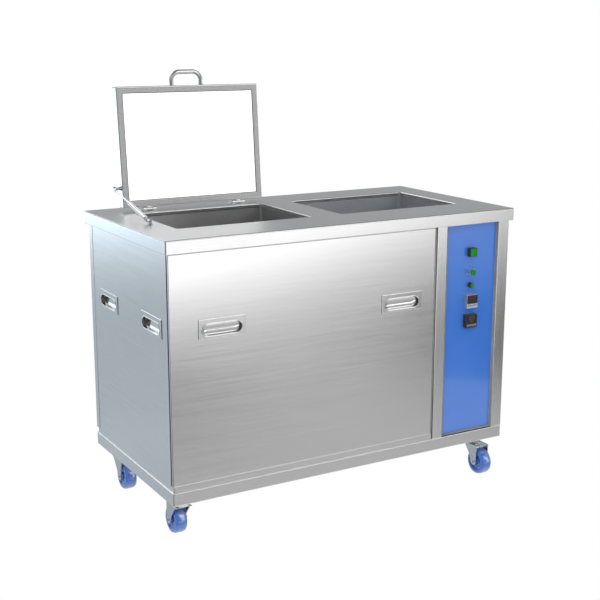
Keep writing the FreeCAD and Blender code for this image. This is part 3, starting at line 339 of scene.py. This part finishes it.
def blue_paint(name):
    """Powder coat: orange peel, tiny pinholes of lighter blue, rubbed fold edges and a painted
    reflection of the floor.
    """
    deep, light = (0.040, 0.158, 0.550), (0.047, 0.170, 0.585)
    pinhole, rubbed = (0.060, 0.20, 0.60), (0.10, 0.25, 0.62)
    material, g, bsdf = principled(name)
    peel = g.noise(scale=330.0, detail=2.0)
    fleck = g.noise(scale=1500.0, detail=1.0, shift=(5, 5, 5))
    drift = g.noise(scale=6.0, detail=3.0, rough=0.6, shift=(0.4, 0.1, 0.8))
    edges = g.edges(0.0012)
    color = g.mix(g.remap(drift, over=(0.3, 0.7)), deep, light)
    color = g.mix(g.remap(fleck, over=(0.62, 0.75), to=(0.0, 0.22)), color, pinhole)
    color = g.mix(g.mul(edges, 0.5), color, rubbed)
    rough = g.vary(0.085, drift, amount=0.05)
    rough = g.vary(rough, peel, amount=0.05)
    # painted reflection: a weak emission glow where the paint mirrors the floor
    floor = g.mirror_lamp(azimuth=(90.0, 179.0), elevation=(-60.0, -16.9), soft=0.5)
    g.fill(bsdf, {"Base Color": color, "Roughness": rough, "IOR": 1.95,
                  "Emission Color": (0.9, 0.9, 1.0), "Emission Strength": g.mul(floor, 0.026),
                  "Normal": g.bump(peel, distance=0.000003)})
    return material


def wheel_blue(name, centre, painted_highlight_azimuth):
    """Blue wheel with a lighter rim, a scuffed running band, fine circular lines and a painted
    highlight where it mirrors a soft box.
    """
    # radii over which the centre gives way to the rim, and the scuffed band begins
    rim_radii, tread_radii = (0.030, 0.034), (0.0425, 0.0438)
    hub, rim, mottled = (0.022, 0.088, 0.38), (0.030, 0.118, 0.46), (0.045, 0.15, 0.52)
    scuffed, rubbed = (0.20, 0.26, 0.36), (0.13, 0.26, 0.66)
    line_frequency = 2600.0  # radians of ring pattern per metre of radius

    material, g, bsdf = principled(name)
    place = g.coords(shift=tuple(-part for part in centre))
    _, y, z = g.split(place)
    radius = g.calc("SQRT", g.calc("ADD", g.mul(y, y), g.mul(z, z)))
    texture = g.noise(scale=800.0, detail=3.0, rough=0.6, at=place)
    mottle = g.noise(scale=55.0, detail=4.0, rough=0.6, distort=0.7, at=place)
    edges = g.edges(0.0010)

    color = g.mix(g.remap(radius, over=rim_radii, smooth=True), hub, rim)
    color = g.mix(g.remap(mottle, over=(0.30, 0.72), to=(0.0, 0.35)), color, mottled)
    scuff = g.mul(g.remap(radius, over=tread_radii, smooth=True),
                  g.remap(mottle, over=(0.44, 0.62), to=(0.0, 0.55)))
    color = g.mix(scuff, color, scuffed)
    color = g.mix(g.mul(edges, 0.45), color, rubbed)

    rough = g.vary(0.34, mottle, amount=0.22)
    coat_rough = g.remap(mottle, over=(0.3, 0.7), to=(0.05, 0.11))
    # painted highlight: emission where the wheel mirrors a soft box
    lamp = g.mul(g.mirror_lamp(painted_highlight_azimuth, elevation=(-3.0, 40.0), soft=2.5),
                 g.remap(texture, over=(0.2, 0.8), to=(0.85, 1.1)))
    rings = g.calc("SINE", g.mul(radius, line_frequency))
    height = g.add(texture, rings, amount=0.15)
    g.fill(bsdf, {"Base Color": color, "Roughness": g.add(rough, scuff, amount=0.25),
                  "Coat Weight": 0.95, "Coat IOR": 1.7,
                  "Coat Roughness": g.add(coat_rough, scuff, amount=0.12),
                  "Emission Color": (0.80, 0.91, 1.0), "Emission Strength": g.mul(lamp, 0.30),
                  "Normal": g.bump(height, distance=0.00003, strength=0.8)})
    return material


def glow(name, color, emit, rough):
    """Glowing plastic with a brighter middle and a fine prismatic texture."""
    material, g, bsdf = principled(name)
    facing = g.fill(g.node("ShaderNodeLayerWeight"), {"Blend": 0.4}).outputs["Facing"]
    prisms = g.voronoi(scale=520.0, output="Distance")
    drift = g.noise(scale=70.0, detail=2.0)
    shown = g.mix(g.remap(drift, over=(0.35, 0.65)), toned(color, 0.85), color)
    shown = g.mix(facing, shown, toned(color, 0.55))
    g.fill(bsdf, {"Base Color": shown, "Emission Color": shown, "Emission Strength": emit,
                  "Roughness": rough, "Coat Weight": 0.05, "Specular IOR Level": 0.3,
                  "Normal": g.bump(prisms, distance=0.00006, strength=0.5)})
    return material


def liner(name):
    """White laminate lid lining with a slight sheen and a glow of painted light, stronger to the
    camera.
    """
    material, g, bsdf = principled(name)
    texture = g.noise(scale=420.0, detail=3.0, rough=0.6)
    drift = g.noise(scale=4.0, detail=3.0, rough=0.6)
    color = g.mix(g.remap(drift, over=(0.3, 0.7)), (0.93, 0.935, 0.94), (0.97, 0.97, 0.97))
    flecks = g.remap(texture, over=(0.60, 0.8), to=(0.0, 0.25))
    color = g.mix(flecks, color, (0.90, 0.90, 0.90))
    # painted light: the lining glows, more strongly to the camera
    seen = g.node("ShaderNodeLightPath").outputs["Is Camera Ray"]
    g.fill(bsdf, {"Base Color": color, "Roughness": 0.55, "Specular IOR Level": 0.25,
                  "Emission Color": color, "Emission Strength": g.add(0.05, seen, amount=0.40),
                  "Normal": g.bump(texture, distance=0.00003, strength=0.6)})
    return material


def window(name):
    """Smoked display window with a soft inner grid behind the gloss."""
    material, g, bsdf = principled(name)
    grid = g.node("ShaderNodeTexBrick", offset=0.0)
    g.fill(grid, {"Vector": g.coords(stretch=(420, 1, 420), turn=(math.radians(90), 0, 0)),
                  "Color1": (0.020, 0.016, 0.022), "Color2": (0.026, 0.020, 0.026),
                  "Mortar": (0.012, 0.010, 0.014)})
    dust = g.noise(scale=240.0, detail=4.0, rough=0.7)
    dusty = g.remap(dust, over=(0.55, 0.8), to=(0.0, 0.12))
    g.fill(bsdf, {"Base Color": g.mix(dusty, grid.outputs[0], (0.2, 0.2, 0.2)),
                  "Roughness": g.remap(dust, over=(0.3, 0.7), to=(0.10, 0.24)),
                  "Coat Weight": 0.6})
    return material


# ------------------------------------------------------------------ the materials
def middle(node, axis):
    """Middle of a CAD piece along axis 0, 1 or 2."""
    low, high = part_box(node)
    return (low[axis] + high[axis]) / 2


FROM_LEFT, FROM_FRONT = (-1.0, 0.0, 0.0), (0.0, -1.0, 0.0)
# painted shade: tank walls turned to the left are darkened
TANK = dict(axis="n", rough=0.40, wave=1.6, shade=FROM_LEFT, shade_to=0.80)
PRESSED = dict(axis="n", base=0.82, rough=0.13, grain=0.6, wave=0.0, fold=0.0012)

MATERIALS = {
    "top": steel("stainless_top_brushed", rough=0.20, flat_rough=0.34),
    # painted light: both tanks are brightened by a ramp along x
    "tank": steel("stainless_tank_satin", base=0.73, speckle=0.16,
                  painted_light_ramp=dict(over=(-0.48, -0.22), to=(1.36, 1.0)), **TANK),
    "tank2": steel("stainless_tank_satin_right", tint=(0.985, 1.0, 1.02), speckle=0.12,
                   painted_light_ramp=dict(over=(0.05, 0.30), to=(1.25, 1.15)), **TANK),
    "frame": steel("stainless_frame_brushed", rough=0.20),
    "post": steel("stainless_post_brushed", axis="z", rough=0.18, fold=0.0024),
    "cover": steel("stainless_cover_brushed", rough=0.17, fold=0.0024),
    "cover_side": steel("stainless_side_brushed", axis="y", rough=0.17),
    # painted shade on faces turned left or to the front, and a painted highlight
    "pressed": steel(
        "pressed_steel_satin", shade=FROM_LEFT,
        painted_glint=dict(strength=0.60, azimuth=(120.0, 168.0), elevation=(14.0, 46.0)), **PRESSED),
    "pressed_side": steel(
        "pressed_steel_side", shade=FROM_FRONT,
        painted_glint=dict(strength=0.55, azimuth=(-62.0, -10.0), elevation=(14.0, 50.0)), **PRESSED),
    "hinge": steel("hinge_steel_bright", base=0.86, rough=0.14, grain=0.6, wave=0.0),
    "lid": steel("stainless_lid_brushed", base=0.83, rough=0.20, grain=0.45, wear=0.3,
                 edge=0.0009),
    "tube": polished("polished_tube_drawn", base=0.84, rough=0.13),
    "cast": cast("cast_aluminium_skin"),
    "zinc": zinc("zinc_fastener_plate"),
    "zinc_press": zinc("zinc_pressing_plate", base=0.66, rough=0.24),
    "rod": polished("chromed_rod", base=0.88, rough=0.07, axis="y"),
    "strut": polished("strut_tube_bright", base=0.80, rough=0.16, axis="y"),
    "chrome": polished("chrome_bezel_bright", base=0.88, rough=0.22, tint=(0.97, 1.0, 1.03)),
    # spare: no piece wears it
    "axle": cast("dark_axle_oxide", base=0.16, rough=0.38, tint=(0.98, 1.0, 1.04)),
    "brass": cast("brass_valve_cast", base=0.62, rough=0.34, tint=(1.0, 0.78, 0.42)),
    "rubber": plastic("silicone_pad_rubber", (0.52, 0.11, 0.06), rough=0.62, vary=0.12,
                      skin=500.0, depth=0.00008, edge=1.2, specular=0.35, dust=0.10),
    "black": plastic("black_plastic_moulded", (0.020, 0.021, 0.024), rough=0.42, vary=0.2,
                     depth=0.00004, edge=2.2, dust=0.05),
    "blackp": plastic("black_case_plastic", (0.028, 0.028, 0.032), rough=0.36, vary=0.15,
                      skin=700.0, edge=2.0),
    "silver": cast("silver_metallised_case", base=0.70, rough=0.26, tint=(0.99, 1.0, 1.02),
                   metallic=0.88),
    "keys": plastic("grey_keys_rubber", (0.20, 0.20, 0.205), rough=0.5, vary=0.10,
                    depth=0.00004, edge=1.3),
    "case": plastic("grey_case_enamel", (0.36, 0.37, 0.38), rough=0.42, vary=0.08,
                    skin=420.0, depth=0.00004, edge=1.2),
    "grip": plastic("blue_grip_vinyl", (0.02, 0.09, 0.40), rough=0.34, vary=0.15,
                    skin=300.0, depth=0.00004, edge=1.6, coat=0.3),
    "paint": blue_paint("blue_powder_coat"),
    # painted light: the buttons are no lamps, yet glow with a brighter middle
    "green": glow("green_button_plastic", (0.003, 0.215, 0.010), emit=0.10, rough=0.42),
    "lens": glow("green_lens_lit", (0.003, 0.23, 0.012), emit=0.14, rough=0.34),
    "liner": liner("white_liner_laminate"),
    "window": window("display_window_smoked"),
}

# the CAD pieces that wear each material
PIECES = {
    "top": "countertop", "tank": "tank_left", "tank2": "tank_right", "cast": "transducers",
    "rubber": "heater_pads", "frame": "base_frame lower_rail floor_plate",
    "post": "frame_posts bay_stiles", "cover": "rear_panel front_panel",
    "cover_side": "right_panel left_panel", "black": "cable_gland fan_frame fan_rotor",
    "zinc": "panel_screws caster_kingpins caster_bolts strut_stud",
    "paint": "control_panel", "blackp": "switch_housings thermostat_body",
    "chrome": "start_bezel", "lens": "lamp_lens", "silver": "timer_body",
    "window": "controller_displays", "keys": "controller_keys", "case": "generator_box",
    "tube": "drain_pipes lid_handle", "brass": "drain_valves",
    "hinge": "hinge_bases hinge_leaves", "rod": "hinge_pins strut_rod",
    "zinc_press": "strut_bracket caster_plates", "lid": "lid_pan", "liner": "lid_liner",
    "strut": "strut_cylinder", "pressed": "front_pulls", "pressed_side": "side_pulls",
    "green": "power_button start_button", "grip": "drain_lever_left drain_lever_right",
}
ASSIGNED = {piece: MATERIALS[key] for key, pieces in PIECES.items() for piece in pieces.split()}

for wheel in WHEELS:
    ASSIGNED["fork_" + wheel] = MATERIALS["zinc_press"]
    ASSIGNED["axle_" + wheel] = MATERIALS["zinc"]
    ASSIGNED["wheel_" + wheel] = wheel_blue(
        "blue_wheel_" + wheel,
        centre=[middle("wheel_" + wheel, axis) for axis in range(3)],
        painted_highlight_azimuth=(149.5, 158.5) if "left" in wheel else (137.5, 143.5))

for name, piece in NODES.items():
    if not piece.data.materials:
        piece.data.materials.append(ASSIGNED[name])
    for slot in piece.material_slots:
        slot.material = ASSIGNED[name]


# ------------------------------------------------------------------ building trim
def new_piece(name, bm, body, material):
    bmesh.ops.recalc_face_normals(bm, faces=bm.faces[:])
    mesh = bpy.data.meshes.new(name)
    bm.normal_update()
    bm.to_mesh(mesh)
    bm.free()
    piece = bpy.data.objects.new(name, mesh)
    SCENE.collection.objects.link(piece)
    mesh.materials.append(material)
    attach(piece, body)


def bridge(bm, first, second, smooth=()):
    """Join two rings of vertices with quads; `smooth` holds the smooth-shaded ones."""
    count = len(first)
    for i in range(count):
        j = (i + 1) % count
        face = bm.faces.new((first[i], first[j], second[j], second[i]))
        face.smooth = i in smooth


def straight_strip(name, outline, start, end, across, out, body, material):
    """Sweep an outline of (across, out) points from start to end, pinched at both ends."""
    steps, taper = 40, 0.0012
    start, end, across, out = Vector(start), Vector(end), Vector(across), Vector(out)
    length = (end - start).length
    stops = [0.0, taper / length, 2.5 * taper / length]
    stops += [i / steps for i in range(1, steps)]
    stops += [1 - 2.5 * taper / length, 1 - taper / length, 1.0]
    bm = bmesh.new()
    rings = []
    for stop in stops:
        from_end = min(stop, 1 - stop) * length / taper
        size = 0.72 if from_end < 0.5 else (0.93 if from_end < 1.5 else 1.0)
        point = start.lerp(end, stop)
        rings.append([bm.verts.new(point + across * (u * size) + out * (v * size))
                      for u, v in outline])
    for first, second in zip(rings[:-1], rings[1:]):
        bridge(bm, first, second, smooth=range(len(outline)))
    bm.faces.new(list(reversed(rings[0])))
    bm.faces.new(rings[-1])
    new_piece(name, bm, body, material)


def mitred_frame(name, outline, x_span, rise_span, place, smooth, body, material):
    """Run an outline of (inset, stand) points round a rectangle.

    place(x, rise, stand) gives the point in space.
    """
    (x0, x1), (rise0, rise1) = x_span, rise_span
    corners = ((x0, rise0, 1, 1), (x1, rise0, -1, 1), (x1, rise1, -1, -1), (x0, rise1, 1, -1))
    bm = bmesh.new()
    rings = [[bm.verts.new(place(x + x_in * inset, rise + rise_in * inset, stand))
              for inset, stand in outline] for x, rise, x_in, rise_in in corners]
    for k in range(4):
        bridge(bm, rings[k], rings[(k + 1) % 4], smooth)
    new_piece(name, bm, body, material)


# ------------------------------------------------------------------ strips and beads of painted shade
# dark and grey strips put in gaps and recesses: painted shade
SHADE_STRIP_SKIN = dict(skin=1200.0, depth=0.00004)
shade_strip_black = plastic("black_shade_strip_rubber", (0.040, 0.042, 0.045), rough=0.75, vary=0.2,
                     edge=1.5, specular=0.08, dust=0.03, **SHADE_STRIP_SKIN)
shade_strip_grey = plastic("grey_shade_strip_rubber", (0.215, 0.22, 0.215), rough=0.60, vary=0.15,
                    edge=1.4, specular=0.3, dust=0.06, **SHADE_STRIP_SKIN)
shade_trim_grey = plastic("grey_shade_trim_vinyl", (0.22, 0.235, 0.265), rough=0.42, vary=0.12,
                    edge=1.3, specular=0.4, dust=0.04)
shade_bead_lid = plastic("lid_shade_bead_rubber", (0.045, 0.046, 0.048), rough=0.70, vary=0.2,
                   edge=1.5, specular=0.15, dust=0.03, **SHADE_STRIP_SKIN)


def corner_shade_strip():
    """Black rubber strip between the left cover and the returned edge of the front cover: painted
    shade for the gap between them.
    """
    x, y, bottom, top = -0.6093, -0.30375, 0.196, 0.885
    # (across, out) up one side of a stem with a ribbed, wider cap
    side = [(0.0021, 0.0), (0.0021, 0.00430), (0.0025, 0.00436), (0.0026, 0.00458),
            (0.0024, 0.00490), (0.0019, 0.00515), (0.0014, 0.00534), (0.0009, 0.00526),
            (0.0004, 0.00538)]
    other = [(-u, v) for u, v in side]
    outline = other[:1] + side + [(0.0, 0.00528)] + other[:0:-1]
    straight_strip("corner_shade_strip_left", outline, (x, y, bottom), (x, y, top),
                   across=(0, 1, 0), out=(-1, 0, 0),
                   body="left_cover", material=shade_strip_black)


def bay_gap_shade_strip():
    """Grey ribbed half-round lip between the front cover and the upright by the bay: painted shade
    for the gap.
    """
    x, y, bottom, top = 0.3181, -0.3072, 0.197, 0.884
    width, height, steps = 0.0066, 0.0062, 14
    outline = [(-width / 2, 0.0), (width / 2, 0.0)]
    for i in range(steps + 1):
        angle = math.pi * i / steps
        rib = 0.93 if i % 2 else 1.0
        outline.append((math.cos(angle) * width / 2,
                        0.12 * height + math.sin(angle) * height * 0.88 * rib))
    straight_strip("bay_gap_shade_strip", outline, (x, y, bottom), (x, y, top),
                   across=(1, 0, 0), out=(0, -1, 0),
                   body="cabinet", material=shade_strip_grey)


def bay_edge_shade_bead():
    """Edging round the control bay: a thin lip on the panel, rounded at the front, whose grey is
    painted shade for the bay's inner sides.
    """
    panel_y = -0.3046
    # (inset from the bay edge, stand forward of the panel)
    outline = [(0.0, 0.0), (0.0, 0.0086), (0.0002, 0.0093), (0.0006, 0.0097),
               (0.0011, 0.0096), (0.0014, 0.0091), (0.0015, 0.0026), (0.0017, 0.0014),
               (0.0022, 0.0006), (0.0031, 0.0002), (0.0031, 0.0)]
    mitred_frame("bay_edge_shade_bead", outline, x_span=(0.3629, 0.5699), rise_span=(0.1781, 0.8878),
                 place=lambda x, z, stand: (x, panel_y - stand, z), smooth=range(2, 9),
                 body="cabinet", material=shade_trim_grey)


def lid_liner_shade_bead():
    """Dark soft bead on the lid lining along its rim, set on the largest forward face: painted
    shade for the gap at the rim.
    """
    mesh = NODES["lid_liner"].data
    face = max(mesh.polygons, key=lambda polygon: polygon.area if polygon.normal.y < -0.5 else 0.0)
    normal = face.normal.normalized()
    up = Vector((0.0, -normal.z, normal.y))
    up = up if up.z > 0 else -up
    base = mesh.vertices[face.vertices[0]].co
    level = base.dot(normal)
    points = [v.co for v in mesh.vertices if abs((v.co - base).dot(normal)) < 1e-5]
    across = [point.x for point in points]
    rises = [point.dot(up) for point in points]
    # (inset from the lining edge, stand off the lining)
    outline = [(0.00005, 0.00002), (0.00005, 0.00080), (0.00020, 0.00100), (0.00050, 0.00112),
               (0.00085, 0.00114), (0.00120, 0.00104), (0.00150, 0.00078), (0.00166, 0.00042),
               (0.00170, 0.00002)]

    def place(x, rise, stand):
        return Vector((x, 0, 0)) + up * rise + normal * (level + stand)

    mitred_frame("lid_liner_shade_bead", outline, x_span=(min(across), max(across)),
                 rise_span=(min(rises), max(rises)), place=place,
                 smooth=range(len(outline) - 1),
                 body="lid", material=shade_bead_lid)


corner_shade_strip()
bay_gap_shade_strip()
bay_edge_shade_bead()
lid_liner_shade_bead()


# ------------------------------------------------------------------ display digits
# Lit segments of the digits 0 to 9: a top, b and c right, d bottom, e and f left, g middle.
SEGMENTS = ("abcdef", "bc", "abged", "abgcd", "fgbc", "afgcd", "afgedc", "abc", "abcdefg",
            "abcdfg")


def digits(name, text, height, material, centre_z):
    """Seven-segment digits: bevelled hexagonal bars lying on the display face."""
    width, thick, pitch, lean = height * 0.52, height * 0.085, height * 0.80, 0.10
    stand, depth, front_size = 0.00012, 0.00010, 0.93
    front_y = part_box("controller_displays")[0].y - stand
    total = pitch * (len(text) - 1) + width
    bars = {"a": ((0, height), (width, height)), "b": ((width, height), (width, height / 2)),
            "c": ((width, height / 2), (width, 0)), "d": ((0, 0), (width, 0)),
            "e": ((0, height / 2), (0, 0)), "f": ((0, height), (0, height / 2)),
            "g": ((0, height / 2), (width, height / 2))}
    bm = bmesh.new()

    def vertex(left, point, y):
        return bm.verts.new((left + point.x + lean * point.y, y,
                             centre_z - height / 2 + point.y))

    for k, digit in enumerate(text):
        left = middle("controller_displays", 0) - total / 2 + k * pitch
        for segment in SEGMENTS[int(digit)]:
            start, end = (Vector(point) for point in bars[segment])
            along = (end - start).normalized()
            start, end = start + along * thick * 0.65, end - along * thick * 0.65
            shoulder = along * thick * 0.6
            side = Vector((-along.y, along.x)) * thick * 0.5
            outline = [start, start + shoulder + side, end - shoulder + side,
                       end, end - shoulder - side, start + shoulder - side]
            centre = (start + end) / 2
            back, front = [], []
            for point in outline:
                back.append(vertex(left, point, front_y + depth))
                front.append(vertex(left, centre + (point - centre) * front_size, front_y))
            bridge(bm, back, front)
            bm.faces.new(front)
            bm.faces.new(list(reversed(back)))
    new_piece(name, bm, "cabinet", material)


timer_z = middle("timer_body", 2)
thermostat_z = middle("thermostat_body", 2)
dim_red = glow("digit_red_dim", (0.13, 0.030, 0.034), emit=0.05, rough=0.4)
dim_grey = glow("digit_grey_dim", (0.17, 0.16, 0.15), emit=0.05, rough=0.4)
digits("timer_digits", "030", 0.0105, dim_red, centre_z=timer_z + 0.0100)
digits("thermostat_digits", "050", 0.0100, dim_grey, centre_z=thermostat_z + 0.0120)
digits("thermostat_setpoint", "060", 0.0072, dim_grey, centre_z=thermostat_z + 0.0010)


# ------------------------------------------------------------------ world
STRIP_PEAK = 3.362  # brightness of the strip where floor meets wall

# soft patches in the reflections: (strength, azimuth, its spread, elevation, its spread)
PATCHES = [
    (-0.378, 158.474, 5.189, -16.671, 3.854),
    (-3.113, 131.751, 5.269, 5.21, 11.242),
    (-0.118, 174.073, 28.273, 25.946, 25.531),
    (0.139, -5.02, 21.204, -20.086, 0.83),
    (-0.06, -28.0, 30.0, -12.8, 2.2),
    (1.3, -18.0, 14.0, -3.6, 2.2),
]


def build_world():
    """White to the camera, a studio to reflections, soft even light to everything else."""
    world = bpy.data.worlds.new("studio")
    SCENE.world = world
    world.use_nodes = True
    g = Graph(world.node_tree)
    output = g.node("ShaderNodeOutputWorld")
    place = g.node("ShaderNodeTexCoord").outputs["Generated"]
    x, y, z = g.split(g.vector("NORMALIZE", place))
    azimuth, elevation = g.angles(x, y, z)

    def wrap(angle):
        return g.calc("WRAP", angle, 180.0, -180.0)

    def fall_off(squared):
        return g.calc("EXPONENT", g.mul(squared, -1.0))

    def bell(az, el=None, height=elevation):
        """Soft peak; az and el are (centre, spread)."""
        offset = g.calc("DIVIDE", wrap(g.calc("SUBTRACT", azimuth, az[0])), az[1])
        squared = g.mul(offset, offset)
        if el is not None:
            offset = g.calc("DIVIDE", g.calc("SUBTRACT", height, el[0]), el[1])
            squared = g.calc("ADD", squared, g.mul(offset, offset))
        return fall_off(squared)

    def step(value, at, width):
        """Soft step from 0 up to 1."""
        power = g.calc("DIVIDE", g.calc("SUBTRACT", at, value), width)
        return g.calc("DIVIDE", 1.0, g.calc("ADD", 1.0, g.calc("EXPONENT", power)))

    def slab(value, low, high, width):
        return g.mul(step(value, low, width), g.invert(step(value, high, width)))

    # a pale floor, a narrow bright strip where floor meets wall, and a mid grey wall;
    # the strip climbs on the right and a little behind
    height = g.add(elevation, bell(az=(108.802, 34.213)), amount=-19.449)
    height = g.add(height, bell(az=(-22.0, 40.0)), amount=-5.91)
    over_floor = step(height, at=-14.293, width=1.127)
    under_wall = g.invert(step(height, at=-11.56, width=0.217))
    floor = g.mul(g.invert(over_floor), 0.511)
    wall = g.mul(g.invert(under_wall), 0.475)
    peak = g.add(STRIP_PEAK, bell(az=(-30.0, 40.0)), amount=-0.22 * STRIP_PEAK)
    value = g.calc("ADD", g.calc("ADD", floor, wall), g.mul(g.mul(over_floor, under_wall), peak))
    for strength, az, az_spread, el, el_spread in PATCHES:
        value = g.add(value, bell((az, az_spread), (el, el_spread)), amount=strength)

    # dark skirting over the pale floor at the right front, with a crisp lower edge
    skirt_el = -13.74
    skirt = bell(az=(135.97, 7.51), el=(skirt_el, 1.73),
                 height=g.calc("MAXIMUM", elevation, skirt_el))
    skirt = g.mul(skirt, step(elevation, at=-16.80, width=0.10))
    value = g.add(value, skirt, amount=-0.824)
    # the floor close by is brighter
    close = g.mul(g.invert(step(elevation, at=-36.0, width=2.0)), 0.45)
    value = g.add(value, step(elevation, at=-90.0, width=1.0), amount=close)
    # dim upper back wall and dark ceiling
    upper_wall = g.mul(slab(elevation, low=22.0, high=58.0, width=3.0), bell(az=(25.0, 60.0)))
    value = g.add(value, upper_wall, amount=-0.20)
    value = g.add(value, step(elevation, at=47.0, width=3.0), amount=-0.32)
    # soft box high in front, on the right
    soft_box = g.mul(slab(azimuth, low=136.0, high=161.0, width=1.5),
                     slab(elevation, low=17.0, high=41.0, width=1.5))
    value = g.add(value, soft_box, amount=1.7)
    # window behind on the left
    value = g.add(value, bell(az=(-14.0, 20.0), el=(34.0, 10.0)), amount=2.4)
    # the dark left front of the room, centred on azimuth -126
    aside = g.calc("ABSOLUTE", wrap(g.calc("ADD", azimuth, 126.0)))
    low = g.calc("DIVIDE", g.calc("ADD", elevation, 13.0), 28.0)
    dark = g.mul(g.invert(step(aside, at=52.0, width=4.0)), fall_off(g.mul(low, low)))
    value = g.mul(value, g.add(1.0, dark, amount=-0.80))
    # cool cast behind on the left, strongest along the strip
    strip = g.mul(over_floor, under_wall)
    cool = bell(az=(-38.0, 52.0), el=(-8.0, 40.0))
    cool_tint = g.mix(strip, (0.85, 0.975, 1.075), (0.77, 0.98, 1.15))
    reflected = g.scale(g.mix(cool, WHITE, cool_tint), g.calc("MAXIMUM", value, 0.03))

    # diffuse light: even, a little stronger from above and from the left front
    even = g.remap(z, over=(-1.0, 1.0), to=(0.86, 1.12))
    left_front = g.mul(bell(az=(-140.0, 60.0), el=(30.0, 40.0)), 0.25)
    diffuse = g.scale(WHITE, g.calc("ADD", even, left_front))

    rays = g.node("ShaderNodeLightPath").outputs
    color = g.mix(rays["Is Glossy Ray"], diffuse, reflected)
    color = g.mix(rays["Is Camera Ray"], color, WHITE)
    background = g.fill(g.node("ShaderNodeBackground"), {0: color})
    g.put(output.inputs[0], background.outputs[0])
    world.cycles.sampling_method = "NONE"


build_world()


# ------------------------------------------------------------------ floor
def floor_material():
    """Glowing white, with a painted contact shadow: a touch greyer close to what stands on it."""
    material = bpy.data.materials.new("pale_floor")
    material.use_nodes = True
    g = Graph(material.node_tree)
    output = g.node("ShaderNodeOutputMaterial")
    occlusion = g.node("ShaderNodeAmbientOcclusion", samples=8)
    g.fill(occlusion, {"Distance": 0.10})
    emission = g.node("ShaderNodeEmission")
    # painted shadow: the floor greys where occlusion is high
    open_sky = g.remap(occlusion.outputs["AO"], over=(0.30, 0.95), smooth=True)
    g.fill(emission, {"Color": g.mix(open_sky, (0.970, 0.972, 0.975), WHITE)})
    g.put(output.inputs[0], emission.outputs[0])
    return material


def pale_floor():
    """A wide disc just under the wheels, seen only by the camera."""
    sides, radius, z = 48, 9.0, -0.0005
    mesh = bpy.data.meshes.new("studio_floor")
    bm = bmesh.new()
    angles = [2 * math.pi * i / sides for i in range(sides)]
    bm.faces.new([bm.verts.new((radius * math.cos(angle), radius * math.sin(angle), z))
                  for angle in angles])
    bm.to_mesh(mesh)
    bm.free()
    disc = bpy.data.objects.new("studio_floor", mesh)
    SCENE.collection.objects.link(disc)
    mesh.materials.append(floor_material())
    disc.visible_glossy = False
    disc.visible_diffuse = False
    disc.visible_shadow = False
    disc.visible_transmission = False


pale_floor()


# ------------------------------------------------------------------ light and camera
def key_light():
    """Large soft light, high at the left front, aimed at the middle of the cabinet."""
    place, target = (-2.6, -3.2, 3.4), Vector((0.0, 0.0, 0.7))
    light = bpy.data.lights.new("key_soft", "AREA")
    light.shape = "RECTANGLE"
    light.size = 3.0
    light.size_y = 2.4
    light.energy = 34.0
    lamp = bpy.data.objects.new("key_soft", light)
    SCENE.collection.objects.link(lamp)
    lamp.location = place
    aim = target - Vector(lamp.location)
    lamp.rotation_euler = aim.to_track_quat("-Z", "Y").to_euler()
    lamp.visible_glossy = False


def add_camera():
    """Long lens at the left front, above the lid, looking slightly down."""
    place = (-1.871835, -3.209902, 1.491179)
    # columns: the camera's right, up and backward directions
    turn = Matrix(((0.864358, 0.113304, -0.489946),
                   (-0.502875, 0.197091, -0.841589),
                   (0.001208, 0.973816, 0.227335)))
    lens = bpy.data.cameras.new("camera")
    lens.lens = 68.811
    lens.sensor_width = 36.0
    lens.clip_start = 0.05
    camera = bpy.data.objects.new("camera", lens)
    SCENE.collection.objects.link(camera)
    camera.matrix_world = Matrix.Translation(place) @ turn.to_4x4()
    SCENE.camera = camera


key_light()
add_camera()
SCENE.view_settings.view_transform = "Standard"
SCENE.view_settings.look = "None"
SCENE.cycles.use_denoising = True
